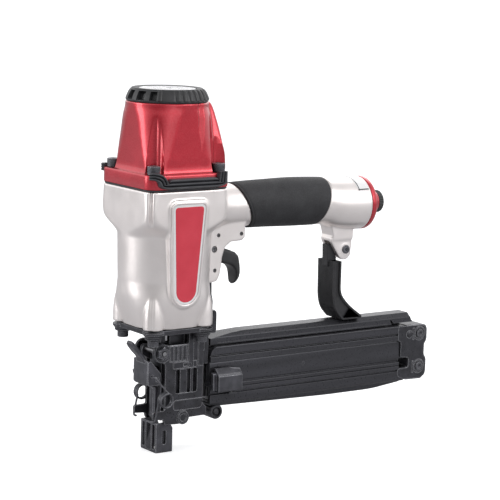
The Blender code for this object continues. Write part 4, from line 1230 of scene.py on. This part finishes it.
def nose_frame():
    pieces = nose_flange() + nose_cheeks()
    post = rounded([(-1, 78), (-1, 19.6), (3, 19.6), (6, 24), (27, 24), (27, 87), (14, 87), (14, 78)], 0.8)
    pieces += [slab("post", [post], sign * 6.85, 1.7, bevel=0.3) for sign in SIGNS]
    pieces.append(slab("crossbar", [box_outline(16, 24.2, 31, 28.8, 1.4)], 0, 22.4, bevel=0.6))
    pieces.append(slab("throat", [box_outline(1.6, 78.4, 16, 89, 0.6)], 0, 15, bevel=0.4))
    pieces.append(slab("front_throat", [box_outline(-5.4, 79.6, -1.6, 89, 0.6)], 0, 12.6, bevel=0.4))
    nose = merge("look_nose_frame", *pieces)
    settle(nose, STEEL_BLACK, "tool_body", "black_steel", "nose_frame", sharp=32)


def hinge_fasteners():
    low, high = span("door_hinge_bolt")
    place = across("door_hinge_bolt")
    end = high.y
    profile = [(0.6, end - 1.4), (1.7, end - 1.4), (1.7, end - 0.2), (2.0, end), (3.3, end), (3.9, end - 0.5),
               (4.0, end - 0.9), (4.0, end - 3.2), (3.8, end - 3.4), (2.0, end - 3.4), (2.0, low.y + 0.8),
               (1.6, low.y + 0.1), (0.6, low.y)]
    bolt = lathe("look_door_hinge_bolt", profile, place, "Y", 96, shape=hexagon(1.7))
    settle(bolt, SCREW_GREY, "tool_body", "black_steel", "door_hinge_bolt")
    low, high = span("door_hinge_nut")
    radius = 4.9
    profile = [(2.2, high.y), (3.9, high.y), (radius, high.y - 0.35), (radius, low.y + 0.45), (3.9, low.y),
               (2.5, low.y), (2.2, low.y + 0.3)]
    nut = lathe("look_door_hinge_nut", profile, place, "Y", 96, "joined", shape=hexagon(radius))
    settle(nut, SCREW_BLACK, "tool_body", "black_steel", "door_hinge_nut")


def nose_door():
    hinge = middle("door_hinge_bolt")
    plate = slab("door", [box_outline(-7.8, 23, 7.8, 70.5, 1.2), box_outline(-4.6, 50, 4.6, 62, 1.4)],
                 -3.15, 3.7, "X", 0.5)
    rib = slab("door_rib", [box_outline(-4, 24.4, 4, 47.4, 1.0)], -6.0, 3.4, "X", 0.7, 3)
    groove = slab("door_strip", [box_outline(-1.6, 26, 1.6, 46, 0.8)], -7.6, 0.7, "X", 0.25)
    arm = rounded([(-4.4, 65), (-12, 69.5), (-12.6, 74), (-10.8, 77.4), (-6.2, 77.4), (-3.5, 74),
                   (-1.6, 70.5), (-1.6, 65)], 2.0)
    lug = rounded([(-4, 49), (-11.5, 50.6), (-12.4, 54), (-11, 57), (-4, 58.5)], 1.8)
    pieces = [plate, rib, groove]
    for sign in SIGNS:
        pieces.append(slab("arm", [arm, circle(hinge.x, hinge.z, 2.2, 24)], sign * 8.4, 3.0, bevel=0.5))
        pieces.append(slab("lug", [lug, circle(-9.5, 54, 1.5, 20)], sign * 7.0, 1.8, bevel=0.4))
    door = merge("look_nose_door", *pieces)
    settle(door, STEEL_SMOOTH, "nose_door", "black_steel", "nose_door", sharp=32)
    end = span("latch_pin")[1].y
    profile = [(0.5, -end), (1.0, -end), (1.3, -end + 0.35), (1.3, end - 0.35), (1.0, end), (0.5, end)]
    pin = lathe("look_latch_pin", profile, across("latch_pin"), "Y", 48)
    settle(pin, SCREW_BLACK, "nose_door", "black_steel", "latch_pin")


def latch_lever():
    """Sheet lever with a thick rolled thumb tab and two ears."""
    low, high = span("latch_lever")
    half = high.y - 1.2
    panel = slab("panel", [box_outline(-half, low.z, half, 68.4, 2.0)], -16.8, 1.7, "X", 0.45)
    stations = [((-16.0, 66.0), (-17.8, 66.0), 6.4), ((-16.2, 68.5), (-18.6, 68.6), 5.6),
                ((-17.2, 71.4), (-20.0, 70.4), 5.0), ((-20.2, 75.0), (-23.2, 73.4), 4.7),
                ((-23.6, 79.0), (-26.4, 77.2), 4.5), ((-25.4, 81.2), (-27.9, 79.6), 4.2),
                ((-26.4, 82.2), (-27.8, 81.2), 3.2)]
    tab = hook_loft("tab", stations, 4.5, 40)
    ear = rounded([(-17.4, low.z), (-17.4, 67.6), (-15.2, 67.8), (-6.6, 58.2), (-6.2, 53), (-8.5, low.z)],
                  1.6)
    holes = [circle(-9.5, 54, 1.5, 20), circle(-14.2, 57, 0.95, 16)]
    ears = [slab("ear", [ear, *holes], sign * 9.3, 1.6, bevel=0.4) for sign in SIGNS]
    lever = merge("look_latch_lever", panel, tab, *ears)
    settle(lever, STEEL_SMOOTH, "latch_lever", "black_steel", "latch_lever", sharp=40)


def wire_side(sign, radius):
    """One leg of the bail: hook under the nose, two turns of coil, and up to the cross bar."""
    top = joint_place("latch_wire_turn")
    hook = (top[0] + 0.2, top[1] - 33)
    coil = (top[0] + 8.2, top[1] - 17)
    side = 14.4
    points = [(hook[0], 10.9, hook[1]), (hook[0], side - 1, hook[1]), (hook[0] + 0.2, side, hook[1] + 1)]
    start = math.radians(200)
    steps = 36
    for i in range(2 * steps + 13):
        turn = start - TAU * i / steps
        out = side + 2.4 * radius * i / steps
        points.append((coil[0] + 5.2 * math.cos(turn), out, coil[1] + 5.2 * math.sin(turn)))
    points.append((top[0] + 1.0, side + 1.4, top[1] - 2.2))
    points.append((top[0], side + 1.0, top[1]))
    return [(x, sign * y, z) for x, y, z in points]


def latch_wire():
    radius = 0.78
    path = wire_side(-1, radius) + list(reversed(wire_side(1, radius)))
    wire = tube("look_latch_wire", path, radius, 4)
    settle(wire, SCREW_BLACK, "latch_wire", "black_steel", "latch_wire", sharp=60, flat_faces=False)


# ------------------------------------------------------------------ safety

def contact_foot():
    low, high = span("contact_foot")
    top = high.z
    half = high.y
    side = rounded([(low.x, low.z), (high.x, low.z), (high.x, top - 4), (high.x - 3.2, top), (low.x, top)],
                   0.7)
    slot = box_outline(low.x + 5.2, 6.2, low.x + 8.2, 16.2, 0.8)
    pieces = [slab("foot_side", [side, slot], sign * (half - 1), 2.0, bevel=0.35) for sign in SIGNS]
    liner = box_outline(low.x + 1.5, 1.5, high.x - 1.5, 20.0, 0.6)
    pieces += [slab("foot_liner", [liner], sign * (half - 2.3), 0.7, bevel=0.2) for sign in SIGNS]
    strip = 4.9
    front = box_outline(-half + 0.4, low.z, half - 0.4, top, 0.8)
    holes = [box_outline(y, 2.4, y + half - 2.1 - strip, top - 1.6, 0.6) for y in (strip, 2.1 - half)]
    pieces.append(slab("foot_front", [front, *holes], low.x + 1, 2.0, "X", 0.35))
    pieces.append(slab("foot_rib", [box_outline(-3.2, 1.2, 3.2, top - 1, 0.8)], low.x + 0.45, 0.9, "X", 0.3))
    foot = merge("look_contact_foot", *pieces)
    settle(foot, STEEL_SMOOTH, "safety", "black_steel", "contact_foot", sharp=32)


def safety_link():
    """Plates inside the nose, a bridge behind the body and a tongue up to the trigger."""
    low = span("safety_link")[0]
    plate = rounded([(-1, low.z), (8, low.z), (8, 62), (33.2, 62), (33.2, 88), (29.5, 88), (29.5, 72),
                     (-1, 72)], 1.0)
    pieces = [slab("link_side", [plate], sign * 9.5, 2.0, bevel=0.35) for sign in SIGNS]
    bridge = rounded([(29.5, 84), (39.2, 84), (40.0, 86), (40.0, 99), (38.6, 101), (34.2, 101), (33.4, 93),
                      (29.5, 93)], 0.8)
    pieces.append(slab("link_bridge", [bridge], 0, 21.0, bevel=0.7))
    arm = rounded([(-8.6, 92), (8.6, 92), (8.6, 108), (6.9, 112), (6.6, 121.4), (-6.6, 121.4), (-6.9, 112),
                   (-8.6, 108)], 1.0)
    pieces.append(slab("link_arm", [arm], 35.9, 3.4, "X", 0.6, 3))
    rib = rounded([(-5.0, 96), (5.0, 96), (4.4, 117), (-4.4, 117)], 1.0)
    pieces.append(slab("link_rib", [rib], 37.9, 1.2, "X", 0.4))
    tongue = [box_outline(-3, 119, 3, 136, 0.8), box_outline(-1.6, 123.2, 1.6, 131.7, 0.4)]
    pieces.append(slab("link_tongue", tongue, 36.3, 4.6, "X", 0.5))
    pieces.append(slab("link_toe", [box_outline(36, 132.4, 41, 136, 0.7)], 0, 6.0, bevel=0.4))
    link_piece = merge("look_safety_link", *pieces)
    settle(link_piece, STEEL_BLACK, "safety", "black_steel", "safety_link", sharp=32)


# ------------------------------------------------------------------ magazine

def magazine_rail():
    low, high = span("magazine_top_rail")
    top = high.z
    base = span("magazine_cover")[1].z + 0.5
    end = high.x + 4.6
    section = rounded([(-9, base), (-9, top - 3.2), (-5.6, top), (5.6, top), (9, top - 3.2), (9, base),
                       (6.3, base), (6.3, top - 4.2), (-6.3, top - 4.2), (-6.3, base)], 0.5, steps=3)
    rail = slab("look_magazine_top_rail", [section], (low.x + end) / 2, end - low.x, "X", 0)
    front = [(low.x - 2, top + 1), (low.x - 2, top - 3.6), (low.x + 1.6, top - 3.2), (low.x + 18, top - 1.1),
             (low.x + 38, top + 0.4), (low.x + 38, top + 1)]
    tail = [(end - 2.6, top + 1), (end - 2.2, top - 2.6), (end - 0.9, top - 5.6), (end + 1, top - 6.4),
            (end + 1, top + 1)]
    notch = [(high.x - 16, base - 1), (high.x - 16, base + 1.2), (high.x - 17.6, base + 4.2),
             (high.x - 16.4, base + 4.4), (high.x - 13.8, base + 1.4), (end + 2, base + 1.4),
             (end + 2, base - 1)]
    cut(rail, *[slab("rail_cutter", [loop], 0, 30, bevel=0) for loop in (front, tail, notch)])
    soften(rail, 0.35)
    line = box_outline(low.x + 6, base + 0.8, high.x - 20, base + 1.5, 0.3)
    lines = [slab("rail_line", [line], sign * 9.0, 0.5, bevel=0.15) for sign in SIGNS]
    foot = slab("rail_foot", [box_outline(high.x - 15, 60, high.x - 4.5, top - 2.5, 0.8)], 0, 7.8, bevel=0.4)
    whole = merge("look_magazine_top_rail", rail, foot, *lines)
    settle(whole, STEEL_LONG, "tool_body", "black_steel", "magazine_top_rail", sharp=32)


def staple_core():
    """Steel track, dressed as the strip of staples that straddles it."""
    low, high = span("staple_core")
    half = high.y
    section = rounded([(-half, low.z), (half, low.z), (half, high.z), (-half, high.z)], 0.7, steps=3)
    track = slab("look_staple_core", [section], (low.x + high.x) / 2, high.x - low.x, "X", 0.3)
    settle(track, STAPLES, "tool_body", "bare_steel", "staple_core")


def cover_section(top, half):
    """Channel section with long grooves pressed in its sides, open at the top for the rail."""
    dents = [(0.4, top), (0, top - 0.5), (0, 68.2), (1.2, 67.6), (1.2, 67.1), (0, 66.5), (0, 62.9),
             (1.5, 62.3), (1.2, 61.3), (1.0, 47.4), (1.5, 46.5), (0, 45.6), (0, 43.4), (0.9, 43.0),
             (0, 42.6), (0, 39.9), (1.3, 39.4), (1.3, 38.9), (0, 38.4), (0, 32.4), (1.8, 30.4)]
    right = [(6.7, top)] + [(half - depth, z) for depth, z in dents]
    inner = [(-6.7, 44.7), (-10.8, 44.7), (-10.8, 32.9), (10.8, 32.9), (10.8, 44.7), (6.7, 44.7)]
    return rounded(right + [(-y, z) for y, z in reversed(right)] + inner, 0.28, steps=2)


def magazine_cover():
    low, high = span("magazine_cover")
    top = high.z
    half = high.y
    section = cover_section(top, half)
    cover = slab("look_magazine_cover", [section], (low.x + high.x) / 2, high.x - low.x, "X", 0)
    keep = rounded([(low.x, 30), (low.x, top - 5), (low.x + 1.8, top - 1.6), (low.x + 6, top + 0.5),
                    (high.x, top + 0.5), (high.x, 30)], 3.0, steps=6)
    boolean(cover, slab("side_outline", [keep], 0, 40, bevel=0), "INTERSECT")
    hole = slab("square_hole", [box_outline(high.x - 6.4, 41, high.x + 1, 48.6, 0.4)], 0, 40, bevel=0)
    pocket = [(low.x - 1, 53.5), (low.x - 1, 58.4), (low.x + 7, 59.4), (low.x + 18, 56.2),
              (low.x + 20.5, 53.5)]
    cut(cover, hole, slab("latch_pocket", [pocket], -12.6, 3.4, bevel=0))
    soften(cover, 0.22)
    belly = rounded([(low.x + 2, 31.6), (low.x + 4, 28.9), (78, 27.9), (143, 26.2), (187, 26.2),
                     (high.x - 2, 29.2), (high.x - 2, 31.6)], 8, steps=6)
    keel = rounded([(low.x + 8, 30), (low.x + 9, 28.1), (78, 26.9), (143, 26.2), (184, 26.2),
                    (high.x - 8, 28.6), (high.x - 8, 30)], 8, steps=6)
    lug = rounded([(46.5, -18.8), (53.5, -18.8), (53.5, -11.6), (46.5, -11.6)], 1.2)
    right = [(5.4, 10.0), (4.9, 10.6), (3.7, 10.6), (3.6, 8.8), (2.4, 8.8), (2.3, 10.0), (1.6, 10.6),
             (0.4, 10.6)]
    left = [(r, -y) for r, y in reversed(right)]
    pieces = [
        slab("belly", [belly], 0, 17, bevel=1.2, segments=3), slab("keel", [keel], 0, 9, bevel=0.6),
        slab("latch_lug", [lug], 39.8, 1.4, "Z", 0.25),
        lathe("front_boss", left + right, (low.x + 7.7, 0, 24.9), "Y", 64)]
    dimple = [(0.3, -half + 0.75), (0.9, -half + 0.75), (1.1, -half + 0.95), (1.4, -half + 1.4)]
    pieces.append(lathe("dimple", dimple, (118, 0, 54), "Y", 32))
    whole = merge("look_magazine_cover", cover, *pieces)
    settle(whole, STEEL_LONG, "magazine", "black_steel", "magazine_cover", sharp=32)


def magazine_end():
    low, high = span("magazine_end_cap")
    half = high.y
    top = high.z
    front = low.x
    outline = rounded([
        (front, 31), (high.x - 5, 30.6), (high.x - 1, 33.4), (high.x, 36), (high.x, 46), (high.x - 2.2, 50),
        (high.x - 2.2, 58), (high.x, 61.5), (high.x, 70), (high.x - 1.4, 73), (high.x - 4, top), (front, top),
        (front, 48.6), (front + 2.6, 48.4), (front + 2.6, 41.2), (front, 41.0)], 1.0)
    bolts = [middle("end_cap_bolt_upper"), middle("end_cap_bolt_lower")]
    holes = [circle(bolt.x, bolt.z, 2.3, 24) for bolt in bolts]
    pieces = [slab("cap", [outline, *holes], 0, 2 * half - 0.8, bevel=0.8)]
    wing = rounded([
        (front - 8.4, 74), (front - 8.4, 62.4), (front - 5.5, 61.8), (front - 5.5, 49.6), (front + 2.8, 48.8),
        (front + 2.8, 40.8), (front - 8, 40.4), (front - 8, 34.6), (front - 2, 32), (high.x - 5, 31.4),
        (high.x - 1.2, 35), (high.x - 1.2, 46), (high.x - 3.2, 50), (high.x - 3.2, 58), (high.x - 1.2, 62),
        (high.x - 1.2, 70), (high.x - 4, 73.4)], 1.6)
    ring = [(3.9, half - 0.5), (5.4, half - 0.5), (5.4, half + 0.5), (5.0, half + 0.9), (4.2, half + 0.9),
            (3.9, half + 0.6)]
    rivet = [(3.0, half - 0.2), (2.9, half + 0.35), (2.3, half + 0.9), (1.3, half + 1.25), (0.3, half + 1.35)]
    for sign in SIGNS:
        pieces.append(slab("wing", [wing], sign * (half - 0.25), 1.0, bevel=0.3))
        for bolt in bolts:
            pieces.append(sided(lathe("ring", ring, (bolt.x, 0, bolt.z), "Y", 48, "joined"), sign))
            shelf = box_outline(bolt.x - 6.6, bolt.z - 4.6, bolt.x - 5.0, bolt.z + 4.6, 0.6)
            pieces.append(slab("ring_shelf", [shelf], sign * (half + 0.35), 1.0, bevel=0.3))
        pieces.append(sided(lathe("rivet", rivet, (front + 2.8, 0, bolts[0].z), "Y", 40), sign))
    cap = merge("look_magazine_end_cap", *pieces)
    settle(cap, STEEL_BLACK, "magazine", "black_steel", "magazine_end_cap", sharp=32)
    for node in ("end_cap_bolt_upper", "end_cap_bolt_lower"):
        far = span(node)[1].y
        near = span(node)[0].y
        profile = [(0.4, far), (2.7, far), (3.4, far - 0.5), (3.6, far - 1.1), (3.6, far - 2.4),
                   (2.0, far - 2.4), (2.0, near + 2.2), (3.4, near + 2.0), (3.4, near + 0.5), (2.9, near),
                   (1.8, near), (1.6, near + 0.5), (1.0, near + 0.9), (0.4, near + 0.9)]
        bolt = lathe(f"look_{node}", profile, across(node), "Y", 72)
        settle(bolt, SCREW_BLACK, "magazine", "black_steel", node)


def magazine_latch():
    low, high = span("magazine_latch")
    face = low.y
    section = rounded([(-13.7, low.z + 0.3), (-13.7, high.z + 4.6), (-15.0, high.z + 4.6),
                       (face + 0.9, high.z + 0.3), (face, high.z - 1.0), (face, low.z + 1.2),
                       (face + 0.8, low.z + 0.3)], 0.5)
    box = slab("latch_box", [section], low.x + 14.2, 21.0, "X", 0.7, 3)
    swing_room = [(44.5, -12.5), (61, -12.5), (61, -16.6), (52, -15.6), (47, -14.0)]
    cut(box, slab("swing_room", [swing_room], high.z, 60, "Z", bevel=0))
    mouth = rounded([(-13.9, low.z + 1.6), (-13.9, high.z + 1.8), (-17.0, high.z + 1.2),
                     (-17.4, low.z + 1.6)], 0.8)
    rib = rounded([(low.x + 5, face), (low.x + 23, face), (low.x + 23, -16.4), (low.x + 5, -16.4)], 0.6)
    latch = merge("look_magazine_latch", box, slab("latch_front", [mouth], low.x + 2.4, 3.6, "X", 0.4),
                  slab("latch_rib", [rib], high.z + 0.1, 0.9, "Z", 0.3))
    settle(latch, STEEL_SMOOTH, "magazine_latch", "black_steel", "magazine_latch", sharp=35)
    low, high = span("magazine_latch_pin")
    place = middle("magazine_latch_pin")
    profile = [(0.3, low.z), (0.7, low.z), (1.0, low.z + 0.3), (1.0, high.z - 0.3), (0.7, high.z),
               (0.3, high.z)]
    pin = lathe("look_magazine_latch_pin", profile, (place.x, place.y, 0), steps=32)
    settle(pin, STEEL_BARE, "magazine", "bare_steel", "magazine_latch_pin")


def magazine_stay():
    """Coated arm from the handle to the rail: narrow neck, broad strap and a flared foot."""
    low, high = span("magazine_stay")
    half = high.y
    front = rounded([(145.6, 128.7), (146.0, 100), (148.4, 90.8), (155.4, low.z)], 12, closed=False, steps=10)
    rear = rounded([(high.x, low.z + 2.0), (160.6, 94.6), (152.4, 103.6), (152.4, 128.7)], 7, closed=False,
                   steps=10)
    strap = front + [(high.x, low.z)] + rear
    pieces = [slab("strap", [strap], 0, 2 * half - 2.4, bevel=0.8, segments=3)]
    pieces.append(slab("strap_rim", [strap, inset(strap, 1.7)], 0, 2 * half, bevel=0.5))
    neck = rounded([(143.6, 141), (144.2, 124), (152.6, 124), (152.6, 131), (147.4, 141)], 1.0)
    pieces.append(slab("neck", [neck], 0, 6.4, bevel=0.5))
    bolt = middle("stay_bolt")
    tongue = rounded([(146, 132), (162.4, 132.4), (162.4, 141.8), (146, 138.8)], 2.0)
    pieces.append(slab("tongue", [tongue, circle(bolt.x, bolt.z, 2.4, 24)], 0, 6.2, bevel=0.4))
    settle(merge("look_magazine_stay", *pieces), RUBBER, "tool_body", "rubber", "magazine_stay", sharp=50)
    low, high = span("stay_bolt")
    end = high.y
    profile = [(0.6, end - 1.5), (1.4, end - 1.5), (1.4, end - 0.2), (1.7, end), (2.6, end), (3.1, end - 0.4),
               (3.3, end - 1.0), (3.3, end - 2.1), (2.1, end - 2.1), (2.1, low.y + 2.4), (3.3, low.y + 2.2),
               (3.3, low.y + 0.5), (2.7, low.y), (1.8, low.y), (1.6, low.y + 0.8), (0.6, low.y + 0.8)]
    screw = lathe("look_stay_bolt", profile, (bolt.x, 0, bolt.z), "Y", 96, shape=hexagon(1.4))
    settle(screw, SCREW_BLACK, "tool_body", "black_steel", "stay_bolt")


# ------------------------------------------------------------------ stage, light and camera

def stage():
    """White sweep: bright to the camera, but a mid grey to the tool, so its own shading stays deep."""
    floor = make("floor", [(-20, -20, 0), (20, -20, 0), (20, 20, 0), (-20, 20, 0)], [(0, 1, 2, 3)])
    look = Nodes("pale_floor")
    seen = look.add("ShaderNodeLightPath").outputs["Is Camera Ray"]
    pale = look.mix(look.noise(2, 2), (0.92, 0.92, 0.92), (0.94, 0.94, 0.94))
    glow = look.mix(seen, (0.0, 0.0, 0.0), (0.40, 0.40, 0.40))
    look.set(Base_Color=look.mix(seen, (0.40, 0.40, 0.41), pale), Roughness=0.65, Specular_IOR_Level=0.2,
             Emission_Color=glow, Emission_Strength=1.0)
    floor.data.materials.append(look.material)


LIGHT_AIM = Vector((0.06, 0, 0.14))


def softbox(name, place, size, power):
    light = bpy.data.lights.new(name, "AREA")
    light.shape = "RECTANGLE"
    light.size, light.size_y = size
    light.energy = power
    obj = bpy.data.objects.new(name, light)
    obj.location = place
    obj.rotation_euler = (LIGHT_AIM - Vector(place)).to_track_quat("-Z", "Y").to_euler()
    bpy.context.scene.collection.objects.link(obj)
    return obj


DARK_TURN = math.radians(212)


def studio_world():
    """Even light for matt surfaces; shiny ones see a dark camera side and a dim ceiling as well."""
    world = bpy.data.worlds.new("studio")
    bpy.context.scene.world = world
    world.use_nodes = True
    tree = world.node_tree

    def add(kind, **settings):
        node = tree.nodes.new(kind)
        for key, value in settings.items():
            setattr(node, key, value)
        return node

    background = tree.nodes["Background"]
    background.inputs["Strength"].default_value = 1.42
    place = add("ShaderNodeTexCoord")
    toward = add("ShaderNodeVectorMath", operation="DOT_PRODUCT")
    toward.inputs[1].default_value = (math.cos(DARK_TURN), math.sin(DARK_TURN), 0)
    ramp = add("ShaderNodeValToRGB")
    stops = ramp.color_ramp.elements
    stops[0].color = (0.74, 0.74, 0.75, 1.0)
    stops[1].color = (0.14, 0.14, 0.14, 1.0)
    for position, level in ((0.50, 0.86), (0.70, 0.96), (0.84, 0.52), (0.95, 0.20)):
        stops.new(position).color = (level, level, level * 1.01, 1.0)
    split = add("ShaderNodeSeparateXYZ")
    ceiling = add("ShaderNodeMapRange")
    for name, value in (("From Min", 0.55), ("From Max", 0.92), ("To Min", 1.0), ("To Max", 0.45)):
        ceiling.inputs[name].default_value = value
    dim = add("ShaderNodeVectorMath", operation="SCALE")
    path = add("ShaderNodeLightPath")
    pick = add("ShaderNodeMix", data_type="RGBA")
    pick.inputs[6].default_value = (0.55, 0.555, 0.565, 1.0)
    for source, target in (
            (place.outputs["Generated"], toward.inputs[0]), (toward.outputs["Value"], ramp.inputs[0]),
            (place.outputs["Generated"], split.inputs[0]), (split.outputs["Z"], ceiling.inputs["Value"]),
            (ramp.outputs["Color"], dim.inputs[0]), (ceiling.outputs["Result"], dim.inputs["Scale"]),
            (path.outputs["Is Glossy Ray"], pick.inputs[0]), (dim.outputs[0], pick.inputs[7]),
            (pick.outputs[2], background.inputs["Color"])):
        tree.links.new(source, target)


def lights():
    studio_world()
    softbox("key", (0.65, -1.05, 0.85), (0.6, 0.9), 5)
    softbox("side", (-1.1, 0.55, 0.5), (0.5, 1.0), 5)
    softbox("rear", (0.9, 0.6, 0.8), (0.8, 0.8), 2)
    softbox("top", (0.05, 0.0, 1.4), (1.2, 1.2), 4).visible_glossy = False


CAMERA_TURN = math.radians(-35.0)
CAMERA_RISE = math.radians(8.9)
CAMERA_ROLL = math.radians(1.6)
CAMERA_DISTANCE = 1.430
CAMERA_AIM_HEIGHT = 0.130
CAMERA_RIGHT = 0.06185
CAMERA_UP = 0.01573
CAMERA_LENS = 144.0


def camera():
    """Low three-quarter view from the operator's left front."""
    back = Vector((math.sin(CAMERA_TURN) * math.cos(CAMERA_RISE),
                   -math.cos(CAMERA_TURN) * math.cos(CAMERA_RISE), math.sin(CAMERA_RISE)))
    level = (-back).cross(Vector((0, 0, 1))).normalized()
    rise = level.cross(-back)
    right = level * math.cos(CAMERA_ROLL) + rise * math.sin(CAMERA_ROLL)
    up = rise * math.cos(CAMERA_ROLL) - level * math.sin(CAMERA_ROLL)
    data = bpy.data.cameras.new("camera")
    data.sensor_width = 36.0
    data.lens = CAMERA_LENS
    data.clip_start = 0.05
    data.clip_end = 100.0
    obj = bpy.data.objects.new("camera", data)
    turn = Matrix((right, up, back)).transposed().to_4x4()
    aim = Vector((AXIS_X, 0, CAMERA_AIM_HEIGHT)) + right * CAMERA_RIGHT + up * CAMERA_UP
    obj.matrix_world = Matrix.Translation(aim + back * CAMERA_DISTANCE) @ turn
    bpy.context.scene.collection.objects.link(obj)
    bpy.context.scene.camera = obj
    bpy.context.scene.view_settings.view_transform = "Standard"


# ------------------------------------------------------------------ assembly

paint_frame()
body_casting()
badges()
cylinder_head()
case_screws()
side_pads()
exhaust_deflector()
deflector_disc()
handle_grip()
handle_end()
rating_label()
trigger()
trip_lever()
cross_pins()
nose_frame()
hinge_fasteners()
nose_door()
latch_lever()
latch_wire()
contact_foot()
safety_link()
magazine_rail()
staple_core()
magazine_cover()
magazine_end()
magazine_latch()
magazine_stay()
stage()
lights()
camera()
